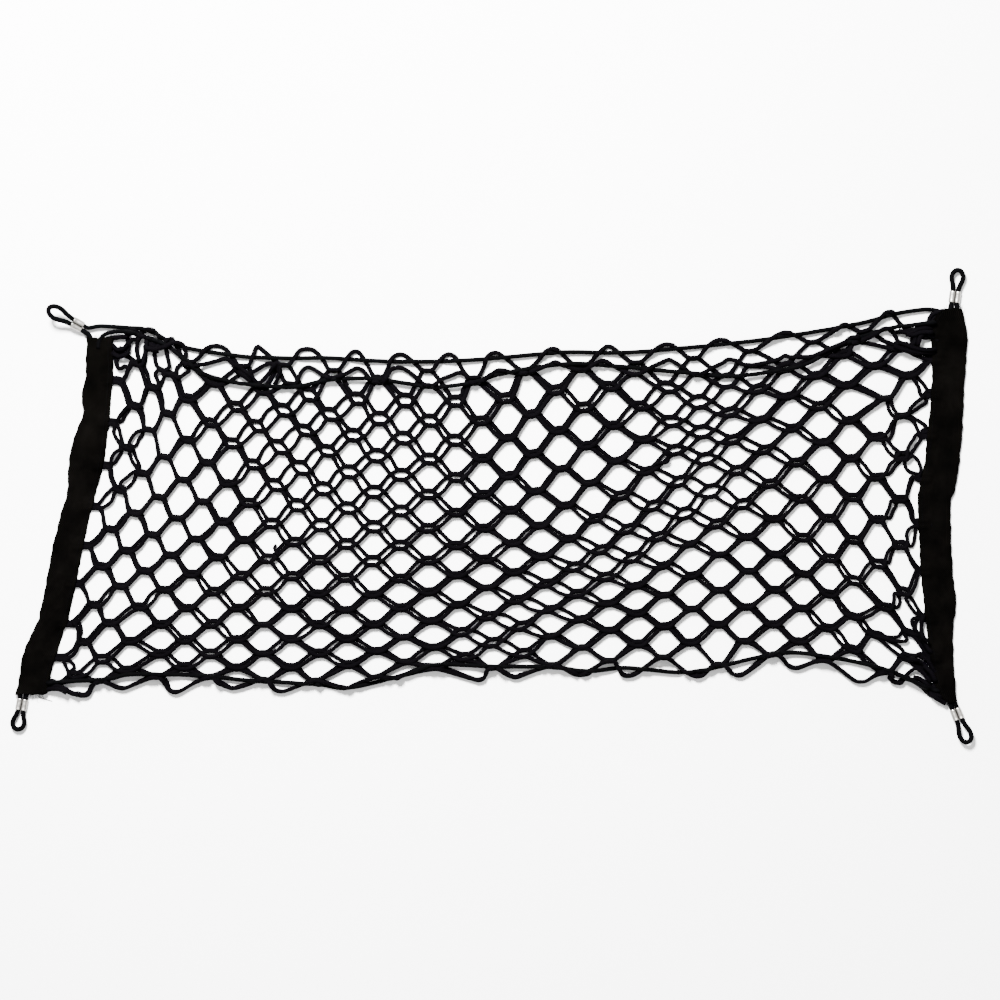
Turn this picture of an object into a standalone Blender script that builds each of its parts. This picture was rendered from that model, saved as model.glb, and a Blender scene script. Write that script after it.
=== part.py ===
"""Envelope cargo net for a car boot, lying flat.

Two knotless net panels are sewn at both ends into folded webbing bands. Elastic cord is threaded
through the meshes along the open mouth of each panel and along the shared bottom edge. At each
corner the cord comes out of the band, passes a two-barrel metal crimp and makes a hook loop.

Frame: +X along the net from the left band to the right band, +Y towards the mouth, +Z up from the
surface it lies on. Tables are in millimetres; the objects are in metres.
"""

import math

import bpy
import numpy as np
from mathutils import Matrix, Vector
from mathutils.geometry import delaunay_2d_cdt

MM = 0.001
CLEAR = 0.3  # gap between pieces that touch

# ---- driving dimensions ----
CORD_DIAMETER = 3.8
CORD_STEP = 10.8  # spacing of the rings along an edge cord
LOOP_STEP = 3.6  # and along a corner loop
LOOP_WIDTH = 12.0  # between the centre lines of a corner loop's sides

NET_THICKNESS = 3.0
SELVEDGE_THICKNESS = 1.15
SELVEDGE_WIDTH = 10.0
SELVEDGE_INSET = 2.0  # how far inside the band the selvedge's inner side lies
STRAND_WIDTH = 4.0
KNOT_HEIGHT = 7.0
KNOT_LENGTH = 16.0
CROSSING = 4.8  # half the length of a leg's raised stretch over a cord

BAND_HEIGHT = 6.0
BAND_END_HEIGHT = 7.7  # the sleeve opens a little round the cords at its ends
BAND_END_LENGTH = 14.0  # full opening this far in, then back to flat over BAND_END_FADE
BAND_END_FADE = 26.0
WEBBING = 1.35

CRIMP_LENGTH = 11.0
CRIMP_RADIUS = 3.1
BORE_RADIUS = 2.4
BARREL_OFFSET = 2.6  # from the crimp's middle to the axis of each barrel

# ---- folded webbing bands: where each edge lies at stations down the band ----
# y, folded outer edge x, open inner edge x
LEFT_BAND = (
    (167, -404.5, -377),
    (154, -404.5, -378),
    (131, -405.5, -378),
    (108, -409.5, -380),
    (72, -416, -383.5),
    (35, -422, -389.5),
    (-8, -430.5, -401),
    (-40, -438.5, -408),
    (-73, -444.5, -414.5),
    (-112, -452.5, -422.5),
    (-150, -469, -436),
    (-169, -472.5, -440.5),
    (-187, -475.5, -443.5),
)
RIGHT_BAND = (
    (196, 469.5, 448),
    (184, 472.5, 443.5),
    (164, 475, 441.5),
    (123, 472.5, 440),
    (91, 471.5, 437.5),
    (43, 467.5, 432.5),
    (11, 459.5, 426),
    (-42, 459.5, 427.5),
    (-74, 461.5, 429.5),
    (-106, 464, 432.5),
    (-137, 461.5, 435.5),
    (-177, 463, 442),
    (-195, 466, 452.5),
)

# ---- how the net lies: a section every eighth of the way from band to band ----
# Courses count half meshes of the real net, from the front mouth cord down to the bottom cord.
X_COURSES = (0, 9, 18)
Y_COURSES = (-1, 0, 5, 9, 13, 18)
BACK_MOUTH_COURSE = -1
FRONT_MOUTH_COURSE = 0
BOTTOM_COURSE = 18
EDGE_COURSE_PITCH = 16.0  # one course past an edge cord
# x at X_COURSES, y at Y_COURSES
NET_SECTIONS = (
    ((-375.5, -400.5, -439.5), (159, 153, 60, -17, -97, -178)),
    ((-298.5, -315.5, -331.5), (157, 140, 46, -31, -101, -168)),
    ((-205.5, -221.5, -227.5), (148, 119, 39, -34, -102, -175)),
    ((-110.5, -117.5, -115.5), (145, 125, 32, -38, -103, -175)),
    ((-15.5, -7.5, -0.5), (146, 123, 30, -38, -96, -160)),
    ((91.5, 107.5, 117.5), (156, 138, 40, -27, -84, -163)),
    ((203.5, 222.5, 224.5), (158, 132, 59, -1, -66, -160)),
    ((319.5, 332.5, 333.5), (174, 149, 81, 8, -70, -150)),
    ((443.5, 428.5, 443.5), (182, 173, 89, 5, -84, -184)),
)

# ---- the modelled mesh: each stands for about one and a half real ones each way ----
COLUMNS = 22  # half meshes from band to band
BODY_COURSES = (-0.25, 17.2)  # first and last row of knots between the edge rows
BODY_ROWS = 13
BACK_PEAK_COURSE = -1.65
FRONT_PEAK_COURSE = -0.65
TIP_COURSE = 18.7
FRONT_LAG = (1.5, -2.5)  # the front panel has slipped this far over the back one

# ---- heights ----
BACK_SELVEDGE_Z = 1.65
FRONT_SELVEDGE_Z = 3.2
FRONT_FIELD_Z = 4.0
FRONT_MOUTH_Z = 5.8
FRONT_MOUTH_COURSES = 4.0  # the front panel rises over this many courses below its mouth
EDGE_TO_FIELD = 34.0  # the net reaches its full thickness this far from a band
EDGE_FLAT = 4.0

# ---- threading: course, the cord's height over a left leg and under a right leg ----
BACK_THREAD = {"course": BACK_MOUTH_COURSE, "over": 5.4, "under": 2.1}
FRONT_THREAD = {"course": FRONT_MOUTH_COURSE, "over": 11.2, "under": 5.4}
BOTTOM_THREAD = {"course": BOTTOM_COURSE, "over": 9.4, "under": 2.1}
# underside of a leg that passes over its cord
BACK_LEG_Z = 4.9
FRONT_MOUTH_LEG_Z = 7.9
FRONT_BOTTOM_LEG_Z = 8.2

# ---- corner loops: crimp centre x, y, z, heading and pitch in degrees, length to the tip ----
CORNERS = {
    "top_left": (-412.5, 180.7, 9.0, 150.0, 20.0, 32.0),
    "top_right": (462.5, 208.65, 3.9, 83.0, 3.0, 27.0),
    "bottom_left": (-468.9, -198.1, 3.9, 260.0, 3.0, 25.0),
    "bottom_right": (464.5, -207.7, 4.6, 290.5, 9.0, 29.5),
}
# From the crimp to the inside of the band: x, y, z. The top left loop's other leg is the back
# mouth cord.
LEGS = {
    "top_left": {"left": ((-401.5, 170.5, 5.0), (-399.5, 164.0, 3.9), (-399.0, 156.0, 3.85))},
    "top_right": {
        "left": ((458.4, 197.0, 3.85), (458.6, 184.0, 3.85)),
        "right": ((465.0, 197.0, 3.85), (464.8, 184.0, 3.85)),
    },
    "bottom_left": {
        "left": ((-464.0, -186.0, 3.85), (-462.5, -175.0, 3.85)),
        "right": ((-470.6, -186.0, 3.85), (-468.0, -175.0, 3.85)),
    },
    "bottom_right": {
        "left": ((461.2, -194.0, 3.9), (460.7, -186.0, 3.85)),
        "right": ((456.8, -194.0, 3.9), (456.2, -186.0, 3.85)),
    },
}

# ---- the ends of the edge cords, before and after the threaded run: x, y, z ----
BACK_CORD_START = (
    (-393.5, 177.6, 5.2),
    (-381.5, 178.5, 5.2),
    (-363.5, 178.0, 5.2),
    (-341.5, 174.0, 5.2),
    (-321.5, 165.5, 5.2),
)
BACK_CORD_END = (
    (378.5, 184.5, 5.2),
    (401.5, 191.5, 5.2),
    (423.5, 194.8, 5.2),
    (440.0, 194.8, 4.3),
    (452.5, 192.0, 3.85),
)
FRONT_CORD_START = (
    (-393.0, 155.0, 3.85),
    (-391.8, 164.0, 3.85),
    (-387.5, 170.5, 3.9),
    (-379.0, 173.0, 4.4),
    (-363.5, 172.8, 5.8),
    (-343.5, 168.5, 8.6),
    (-324.5, 160.0, 10.8),
    (-306.5, 146.0, 11.0),
)
FRONT_CORD_END = (
    (362.5, 163.0, 11.0),
    (393.5, 173.5, 11.0),
    (418.5, 180.5, 10.0),
    (434.0, 184.6, 6.8),
    (443.5, 186.6, 4.2),
    (452.5, 187.5, 3.85),
)
BOTTOM_CORD_START = (
    (-450.5, -177.0, 3.85),
    (-441.0, -176.8, 4.0),
    (-433.5, -176.5, 5.6),
    (-425.0, -175.5, 8.4),
    (-416.5, -174.8, 9.2),
)
BOTTOM_CORD_END = (
    (413.5, -174.5, 9.2),
    (426.5, -179.0, 9.0),
    (436.0, -181.6, 6.4),
    (442.5, -182.4, 4.1),
    (450.0, -182.5, 3.85),
)

# base colour, roughness, metallic
FINISHES = {
    "net": ((0.012, 0.012, 0.013), 0.8, 0.0),
    "cord": ((0.010, 0.010, 0.011), 0.65, 0.0),
    "webbing": ((0.016, 0.015, 0.015), 0.85, 0.0),
    "crimp": ((0.62, 0.60, 0.57), 0.3, 1.0),
}


def finish(name):
    """The material called name, made once."""
    colour, roughness, metallic = FINISHES[name]
    material = bpy.data.materials.get(name) or bpy.data.materials.new(name)
    material.use_nodes = True
    shader = material.node_tree.nodes["Principled BSDF"]
    shader.inputs["Base Color"].default_value = (*colour, 1.0)
    shader.inputs["Roughness"].default_value = roughness
    shader.inputs["Metallic"].default_value = metallic
    return material


def add_object(name, data, material):
    thing = bpy.data.objects.new(name, data)
    data.materials.append(finish(material))
    bpy.context.scene.collection.objects.link(thing)
    return thing


def smoothstep(t):
    t = min(max(t, 0.0), 1.0)
    return t * t * (3 - 2 * t)


def catmull(before, start, end, after, t):
    """The point at t from start to end on the smooth curve through four points."""
    before, start, end, after = (np.asarray(p, float) for p in (before, start, end, after))
    straight = 2 * start + (end - before) * t
    square = (2 * before - 5 * start + 4 * end - after) * t**2
    cube = (3 * start - before - 3 * end + after) * t**3
    return 0.5 * (straight + square + cube)


def smooth_route(points, step):
    """The smooth curve through points, read again about step apart."""
    points = [np.asarray(p, float) for p in points]
    padded = [2 * points[0] - points[1], *points, 2 * points[-1] - points[-2]]
    fine = [
        catmull(*padded[i : i + 4], t)
        for i in range(len(points) - 1)
        for t in np.linspace(0, 1, 12, endpoint=False)
    ]
    fine = np.array([*fine, points[-1]])
    along = np.concatenate([[0], np.cumsum(np.linalg.norm(np.diff(fine, axis=0), axis=1))])
    places = np.linspace(0, along[-1], round(along[-1] / step) + 1)
    return np.stack([np.interp(places, along, fine[:, k]) for k in range(3)], axis=1)


def add_cord(name, points, step):
    """A round cord through points, closed at both ends."""
    route = smooth_route(points, step)
    curve = bpy.data.curves.new(name, "CURVE")
    curve.dimensions = "3D"
    curve.bevel_depth = CORD_DIAMETER / 2 * MM
    curve.bevel_resolution = 2
    curve.use_fill_caps = True
    spline = curve.splines.new("POLY")
    spline.points.add(len(route) - 1)
    for point, place in zip(spline.points, route):
        point.co = (*(place * MM), 1.0)
    spline.use_smooth = True
    return add_object(name, curve, "cord")


# ---- the net ----


def section_at(index, course):
    """Where one section of the net lies at a course."""
    xs, ys = NET_SECTIONS[index]
    inside = min(max(course, Y_COURSES[0]), Y_COURSES[-1])
    beyond = (course - inside) * EDGE_COURSE_PITCH
    x = np.interp(inside, X_COURSES, xs)
    return np.array([x, np.interp(inside, Y_COURSES, ys) - beyond])


def net_point(column, course):
    """The net's x and y at a place between the bands, counted in modelled half meshes."""
    last = len(NET_SECTIONS) - 1
    place = min(max(column / COLUMNS, 0.0), 1.0) * last
    start = min(int(place), last - 1)
    four = [section_at(min(max(start + k, 0), last), course) for k in (-1, 0, 1, 2)]
    return catmull(*four, place - start)


def band_edges(band, y):
    """The outer and inner edge of a band at a height on the page."""
    stations = np.array(band[::-1], float)
    return np.interp(y, stations[:, 0], stations[:, 1]), np.interp(y, stations[:, 0], stations[:, 2])


def column_pitch():
    return (net_point(COLUMNS, 9)[0] - net_point(0, 9)[0]) / COLUMNS


class Panel:
    """One layer of the net: rows of knots, joined by legs, round the gaps of the meshes."""

    def __init__(self, name, peak_course, mouth_thread_leg, bottom_leg, is_front):
        self.name = name
        self.is_front = is_front
        body = list(np.linspace(*BODY_COURSES, BODY_ROWS))
        # The front panel is one row shorter: its peaks stand where the back's second row is.
        self.courses = [peak_course, *(body[1:] if is_front else body), TIP_COURSE]
        self.first_odd = not is_front
        self.leg_z = {0: mouth_thread_leg, len(self.courses) - 2: bottom_leg}
        self.knot_end = KNOT_LENGTH / 2 / column_pitch()

    def has_knot(self, column, row):
        return (column + row + self.first_odd) % 2 == 0

    def place(self, column, course):
        """The panel's x and y, with the front panel's slip faded out at every edge."""
        from_side = smoothstep(min(column, COLUMNS - column) / 2)
        from_edge = smoothstep((course - 1) / 3) * smoothstep((16.5 - course) / 3)
        slip = np.array(FRONT_LAG) * from_side * from_edge * self.is_front
        return net_point(column, course) + slip

    def level(self, column, course):
        """The underside and the thickness of the net there."""
        from_band = min(column, COLUMNS - column) * column_pitch()
        out = smoothstep((from_band - EDGE_FLAT) / EDGE_TO_FIELD)
        thickness = SELVEDGE_THICKNESS + (NET_THICKNESS - SELVEDGE_THICKNESS) * out
        if not self.is_front:
            return BACK_SELVEDGE_Z * (1 - out), thickness
        rise = smoothstep((FRONT_MOUTH_COURSES - course) / FRONT_MOUTH_COURSES)
        field = FRONT_FIELD_Z + (FRONT_MOUTH_Z - FRONT_FIELD_Z) * rise
        return FRONT_SELVEDGE_Z + (field - FRONT_SELVEDGE_Z) * out, thickness

    def corner(self, column, row, side):
        """One end of a knot: side is -1 for its left end and 1 for its right end."""
        place = column + side * self.knot_end
        course = self.courses[row]
        return (*self.place(place, course), *self.level(place, course))

    def selvedge(self, at_left, row, inset):
        """A place inside a band, beside the knots of a row."""
        column = 0 if at_left else COLUMNS
        course = self.courses[row]
        y = net_point(column, course)[1]
        inner = band_edges(LEFT_BAND if at_left else RIGHT_BAND, y)[1]
        x = inner - inset if at_left else inner + inset
        return (x, y, *self.level(column, course))

    def threaded(self, column, row):
        """Whether the leg to the right of this knot passes over an edge cord."""
        return row in self.leg_z and 3 <= column <= COLUMNS - 4

    def raised(self, row, start, end, share):
        """The two ends of the raised stretch of a leg's side, where it passes over the cord."""
        length = math.dist(start[:2], end[:2])
        points = []
        for place in (share - CROSSING / length, share + CROSSING / length):
            x, y, _, thickness = (a + (b - a) * place for a, b in zip(start, end))
            points.append((x, y, self.leg_z[row], thickness))
        return points


def inset_outline(points, insets):
    """A clockwise outline, each of its sides moved inwards by its own inset."""
    count = len(points)
    flat = [Vector(p[:2]) for p in points]
    lines = []
    for i in range(count):
        along = (flat[(i + 1) % count] - flat[i]).normalized()
        inwards = Vector((along.y, -along.x))
        lines.append((flat[i] + inwards * insets[i], along))
    moved = []
    for i in range(count):
        (a, u), (b, v) = lines[i - 1], lines[i]
        turn = u.x * v.y - u.y * v.x
        if abs(turn) < 1e-6:
            corner = b
        else:
            corner = a + u * ((b - a).x * v.y - (b - a).y * v.x) / turn
        moved.append((corner.x, corner.y, *points[i][2:]))
    return moved


def crossing_share(panel, column, row):
    """How far down the leg to the right of a knot its edge cord crosses."""
    mouth = FRONT_MOUTH_COURSE if panel.is_front else BACK_MOUTH_COURSE
    courses = panel.courses[row], BOTTOM_COURSE if row else mouth, panel.courses[row + 1]
    top, cord, low = (net_point(column + 0.5, course)[1] for course in courses)
    return (cord - top) / (low - top)


def mesh_gap(panel, column, row):
    """The outline of one gap, clockwise from its top left corner."""
    strand, knot = STRAND_WIDTH / 2, KNOT_HEIGHT / 2
    top_row, low_row = row - 1, row + 1
    if column == 0:
        corners = [
            panel.selvedge(True, top_row, SELVEDGE_INSET),
            panel.corner(0, top_row, 1),
            panel.corner(1, row, -1),
            panel.corner(0, low_row, 1),
            panel.selvedge(True, low_row, SELVEDGE_INSET),
        ]
        return inset_outline(corners, [knot, strand, strand, knot, 0.0])
    if column == COLUMNS:
        corners = [
            panel.corner(COLUMNS, top_row, -1),
            panel.selvedge(False, top_row, SELVEDGE_INSET),
            panel.selvedge(False, low_row, SELVEDGE_INSET),
            panel.corner(COLUMNS, low_row, -1),
            panel.corner(COLUMNS - 1, row, 1),
        ]
        return inset_outline(corners, [knot, 0.0, knot, strand, strand])
    corners = [
        panel.corner(column, top_row, -1),
        panel.corner(column, top_row, 1),
        panel.corner(column + 1, row, -1),
        panel.corner(column, low_row, 1),
        panel.corner(column, low_row, -1),
        panel.corner(column - 1, row, 1),
    ]
    outline = inset_outline(corners, [knot, strand, strand, knot, strand, strand])
    if panel.threaded(column, top_row):
        share = crossing_share(panel, column, top_row)
        outline[2:2] = panel.raised(top_row, outline[1], outline[2], share)
    if panel.threaded(column, row):
        share = crossing_share(panel, column, row)
        place = len(outline) - 3
        outline[place:place] = panel.raised(row, outline[place - 1], outline[place], share)
    return outline


def zigzag(panel, row, other_row, insets):
    """The outer edge of the net from left to right, along its peaks or its tips."""
    strand, knot = insets
    edge_row = row if panel.has_knot(0, row) else other_row
    points, sides = [panel.selvedge(True, edge_row, SELVEDGE_INSET)], [knot]
    for column in range(COLUMNS + 1):
        at = row if panel.has_knot(column, row) else other_row
        if column > 0:
            points.append(panel.corner(column, at, -1))
            sides.append(knot)
        if column < COLUMNS:
            points.append(panel.corner(column, at, 1))
            sides.append(strand)
    points.append(panel.selvedge(False, edge_row, SELVEDGE_INSET))
    sides.append(0.0)
    return points, sides


def outer_edge(panel):
    """The panel's outline, clockwise: its peaks, right selvedge, tips and left selvedge."""
    last = len(panel.courses) - 1
    outwards = (-STRAND_WIDTH / 2, -KNOT_HEIGHT / 2)
    peaks, peak_sides = zigzag(panel, 0, 1, outwards)
    tips, tip_sides = zigzag(panel, last, last - 1, outwards)
    deep = SELVEDGE_INSET + SELVEDGE_WIDTH
    rows = [row for row in range(last + 1) if panel.has_knot(0, row)]
    right = [panel.selvedge(False, row, deep) for row in rows]
    left = [panel.selvedge(True, row, deep) for row in reversed(rows)]
    points = peaks + right + tips[::-1] + left
    sides = peak_sides[:-1] + [outwards[1]] + [0.0] * (len(right) - 1) + [outwards[1]]
    sides += tip_sides[-2::-1] + [outwards[1]] + [0.0] * (len(left) - 1) + [outwards[1]]
    outline = inset_outline(points, sides)
    return with_raised_legs(panel, outline, len(peaks), len(right), len(tips))


def with_raised_legs(panel, outline, peak_count, right_count, tip_count):
    """The outline with a point where each threaded leg passes over its cord."""
    last = len(panel.courses) - 1
    done = []
    for i, point in enumerate(outline):
        done.append(point)
        k = i - peak_count - right_count
        if i < peak_count:
            column, row, starts_leg = (i - 1) // 2, 0, i % 2 == 1
            right_leg = starts_leg and panel.has_knot(column, 0)
        else:
            column, row, starts_leg = COLUMNS - (k + 1) // 2, last - 1, 0 < k < tip_count and k % 2 == 1
            right_leg = starts_leg and panel.has_knot(column, last)
        if right_leg and panel.threaded(column, row):
            share = crossing_share(panel, column, row)
            done += panel.raised(row, point, outline[i + 1], share)
    return done


def perforated(outline, gaps):
    """Points and triangles of the flat region inside outline and outside every gap."""
    points, loops = [], []
    for loop in (outline, *gaps):
        loops.append(list(range(len(points), len(points) + len(loop)))[::-1])
        points += loop
    flat = [Vector(p[:2]) for p in points]
    placed, _, faces, origins, _, owners = delaunay_2d_cdt(flat, [], loops, 1, 1e-5)
    if any(len(origin) != 1 for origin in origins):
        raise ValueError("two corners of the outlines meet, or two of their sides cross")
    ordered = [points[origin[0]] for origin in origins]
    return ordered, [tuple(face) for face, owner in zip(faces, owners) if owner == [0]]


def add_sheet(name, points, faces, material, to_world):
    """A closed sheet: points hold x, y, underside and thickness, in millimetres."""
    count = len(points)
    low = [to_world @ Vector((x, y, z)) for x, y, z, _ in points]
    high = [to_world @ Vector((x, y, z + thick)) for x, y, z, thick in points]
    upper = [tuple(count + i for i in face) for face in faces]
    under = [tuple(reversed(face)) for face in faces]
    used = {(a, b) for face in faces for a, b in zip(face, face[1:] + face[:1])}
    walls = [(a, b, count + b, count + a) for a, b in sorted(used) if (b, a) not in used]
    mesh = bpy.data.meshes.new(name)
    mesh.from_pydata(low + high, [], upper + under + walls)
    mesh.update()
    return add_object(name, mesh, material)


def build_panel(panel):
    rows = range(1, len(panel.courses) - 1)
    gaps = [
        mesh_gap(panel, column, row)
        for row in rows
        for column in range(COLUMNS + 1)
        if not panel.has_knot(column, row)
    ]
    points, faces = perforated(outer_edge(panel), gaps)
    return add_sheet(panel.name, points, faces, "net", Matrix.Scale(MM, 4))


# ---- webbing bands ----


def band_height(band, y):
    from_end = min(band[0][0] - y, y - band[-1][0])
    flare = 1 - smoothstep((from_end - BAND_END_LENGTH) / BAND_END_FADE)
    return BAND_HEIGHT + (BAND_END_HEIGHT - BAND_HEIGHT) * flare


def band_section(band, y, outer, inner):
    """The folded webbing cut across: closed at its outer edge and open at its inner one."""
    height = band_height(band, y)
    way = math.copysign(1.0, inner - outer)
    rounding, slot = outer + 1.6 * way, outer + WEBBING * way
    return [
        (rounding, y, 0),
        (inner, y, 0),
        (inner, y, WEBBING),
        (slot, y, WEBBING),
        (slot, y, height - WEBBING),
        (inner, y, height - WEBBING),
        (inner, y, height),
        (rounding, y, height),
        (outer, y, height - 1.6),
        (outer, y, 1.6),
    ]


def build_band(name, band):
    rings = [band_section(band, *station) for station in band]
    size = len(rings[0])
    faces = []
    for i in range(len(rings) - 1):
        for k in range(size):
            near, far = i * size + k, i * size + (k + 1) % size
            faces.append((near, near + size, far + size, far))
    last = (len(rings) - 1) * size
    faces.append(tuple(range(size)))
    faces.append(tuple(last + k for k in reversed(range(size))))
    if band is LEFT_BAND:
        faces = [tuple(reversed(face)) for face in faces]
    mesh = bpy.data.meshes.new(name)
    mesh.from_pydata([Vector(p) * MM for ring in rings for p in ring], [], faces)
    mesh.update()
    return add_object(name, mesh, "webbing")


# ---- corner loops, crimps and edge cords ----


def corner_frame(corner):
    """From a crimp's own frame, +X towards its loop and +Y to the left, to the net's."""
    x, y, z, heading, pitch, _ = CORNERS[corner]
    turn = Matrix.Rotation(math.radians(heading), 4, "Z")
    tilt = Matrix.Rotation(-math.radians(pitch), 4, "Y")
    return Matrix.Translation((x, y, z)) @ turn @ tilt


def in_crimp(corner, along, side):
    """A point on the axis of one barrel: side is 1 for the left barrel, -1 for the right."""
    return tuple(corner_frame(corner) @ Vector((along, side * BARREL_OFFSET, 0)))


def leg_route(corner, side):
    """From the band to the loop's end of the crimp, along one barrel."""
    word = "left" if side > 0 else "right"
    inside = [in_crimp(corner, CLEAR / 2, side), in_crimp(corner, CRIMP_LENGTH / 2, side)]
    if word not in LEGS[corner]:
        return inside
    tail = in_crimp(corner, -CRIMP_LENGTH / 2 - 0.5, side)
    return [*reversed(LEGS[corner][word]), tail, *inside]


def build_loop(corner):
    """A hook loop: up one barrel, round the teardrop and back down the other."""
    frame = corner_frame(corner)
    length = CORNERS[corner][5]
    half = LOOP_WIDTH / 2
    # share of the way from the crimp to the tip, share of the half width
    teardrop = ((0.28, 0.62), (0.52, 0.92), (0.70, 1.0), (0.87, 0.80), (0.97, 0.42))
    mouth = CRIMP_LENGTH / 2
    side = [(mouth + (length - mouth) * u, half * v) for u, v in teardrop]
    round_loop = [frame @ Vector((u, v, 0)) for u, v in side]
    round_loop.append(frame @ Vector((length, 0, 0)))
    round_loop += [frame @ Vector((u, -v, 0)) for u, v in reversed(side)]
    points = leg_route(corner, 1) + round_loop + leg_route(corner, -1)[::-1]
    return add_cord(f"corner_loop_{corner}", points, LOOP_STEP)


def build_crimp(corner):
    """Two barrels rolled from one strip, with a cord through each."""
    waist = math.degrees(math.acos(-BARREL_OFFSET / CRIMP_RADIUS))
    right = []
    for angle in np.linspace(waist, -waist, 8)[:-1]:
        a = math.radians(angle)
        right.append((BARREL_OFFSET + CRIMP_RADIUS * math.cos(a), CRIMP_RADIUS * math.sin(a)))
    outline = right + [(-y, -z) for y, z in right]
    bores = []
    for side in (-1, 1):
        angles = [math.radians(-22.5 - 45 * k) for k in range(8)]
        bores.append(
            [
                (side * BARREL_OFFSET + BORE_RADIUS * math.cos(a), BORE_RADIUS * math.sin(a))
                for a in angles
            ]
        )
    start = (-CRIMP_LENGTH / 2, CRIMP_LENGTH)
    points, faces = perforated(
        [(*p, *start) for p in outline], [[(*p, *start) for p in bore] for bore in bores]
    )
    # The sheet's x, y and z are the crimp's y, z and x.
    roll = Matrix(((0, 0, 1, 0), (1, 0, 0, 0), (0, 1, 0, 0), (0, 0, 0, 1)))
    to_world = Matrix.Scale(MM, 4) @ corner_frame(corner) @ roll
    crimp = add_sheet(f"crimp_{corner}", points, faces, "crimp", to_world)
    crimp.data.shade_smooth()
    crimp.data.set_sharp_from_angle(angle=math.radians(50))
    return crimp


def threaded_run(thread, start, end, first_over, last_over):
    """A cord's points along the meshes: over each left leg and under each right leg."""
    points = []
    for column in np.arange(start, end + 0.125, 0.25):
        weave = first_over <= column <= last_over
        wave = 0.5 - 0.5 * math.cos(math.pi * (column - first_over)) if weave else 0.0
        dip = smoothstep(wave)
        height = thread["over"] + (thread["under"] - thread["over"]) * dip
        points.append((*net_point(column, thread["course"]), height))
    return points


def build_edge_cords():
    # The peaks of the back panel and the tips of both are at odd columns, and the front's peaks
    # at even ones. A left leg is half a column before its peak.
    back = threaded_run(BACK_THREAD, 2.5, 19.5, 2.5, 18.5)
    front = threaded_run(FRONT_THREAD, 3.5, 19.5, 3.5, 19.5)
    bottom = threaded_run(BOTTOM_THREAD, 1.0, 21.0, 2.5, 18.5)
    crimped = [in_crimp("top_left", along, -1) for along in (-CLEAR / 2, -5.6, -11.0)]
    routes = {
        "edge_cord_back": [*crimped, *BACK_CORD_START, *back, *BACK_CORD_END],
        "edge_cord_front": [*FRONT_CORD_START, *front, *FRONT_CORD_END],
        "edge_cord_bottom": [*BOTTOM_CORD_START, *bottom, *BOTTOM_CORD_END],
    }
    for name, route in routes.items():
        add_cord(name, route, CORD_STEP)


def main():
    for thing in list(bpy.data.objects):
        bpy.data.objects.remove(thing, do_unlink=True)
    build_band("side_band_left", LEFT_BAND)
    build_band("side_band_right", RIGHT_BAND)
    build_panel(Panel("net_back_panel", BACK_PEAK_COURSE, BACK_LEG_Z, BACK_LEG_Z, False))
    build_panel(
        Panel("net_front_panel", FRONT_PEAK_COURSE, FRONT_MOUTH_LEG_Z, FRONT_BOTTOM_LEG_Z, True)
    )
    build_edge_cords()
    for corner in CORNERS:
        build_loop(corner)
        build_crimp(corner)


main()
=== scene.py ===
"""Envelope cargo net lying flat: the finished look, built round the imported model.

Two layers of knotless mesh lie on each other between folded webbing bands. Elastic cord runs
through the peaks of each layer along its mouth and through the tips of both along the bottom, and
comes out at each corner as a hook loop held by a two-barrel crimp.
Tables are in millimetres; everything that is built is in metres.
"""

import math
import random

import bmesh
import bpy
import numpy as np
from bpy.props import FloatProperty, FloatVectorProperty, IntProperty, PointerProperty
from mathutils import Matrix, Vector
from mathutils.kdtree import KDTree


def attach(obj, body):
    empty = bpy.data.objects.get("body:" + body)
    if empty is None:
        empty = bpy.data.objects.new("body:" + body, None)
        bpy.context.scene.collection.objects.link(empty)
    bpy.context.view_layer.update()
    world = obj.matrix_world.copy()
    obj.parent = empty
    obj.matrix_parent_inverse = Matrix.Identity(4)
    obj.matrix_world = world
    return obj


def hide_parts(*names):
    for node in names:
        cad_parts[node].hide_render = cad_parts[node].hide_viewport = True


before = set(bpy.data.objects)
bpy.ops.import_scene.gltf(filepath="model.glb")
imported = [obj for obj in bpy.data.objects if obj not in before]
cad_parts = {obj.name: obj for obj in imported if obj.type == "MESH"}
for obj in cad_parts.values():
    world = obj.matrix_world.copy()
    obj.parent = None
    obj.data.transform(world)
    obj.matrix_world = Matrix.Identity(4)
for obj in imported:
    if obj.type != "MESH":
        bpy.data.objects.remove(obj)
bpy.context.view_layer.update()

bl_info = {
    "name": "Envelope Cargo Net",
    "version": (1, 0, 0),
    "blender": (4, 5, 0),
    "location": "3D View > Sidebar > Cargo Net",
    "description": "Builds the mesh layers, cords, bands and crimps of a boot cargo net",
    "category": "Add Mesh",
}

MM = 0.001
ROOT = "root"

# ---- the stage, in metres ----
FLOOR = 6.0  # half its width
KEY_PLACE, KEY_SIZE = (-0.45, 1.15, 1.9), 0.55  # the large lamp
VIEW_CENTRE = (8.5 * MM, 6.0 * MM)
SENSOR = 36.0  # width of the camera's film, in millimetres

# ---- how the net lies: one row for every fourth column of meshes, from band to band ----
# Columns and courses count half meshes. Courses -1 and 0 are the mouth, 18 and 19 the bottom.
COLUMNS = 32
LAST_COURSE = 19
X_COURSES = (0, 6, 12, 18)
Y_COURSES = (0, 3, 6, 9, 12, 15, 18)
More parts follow.
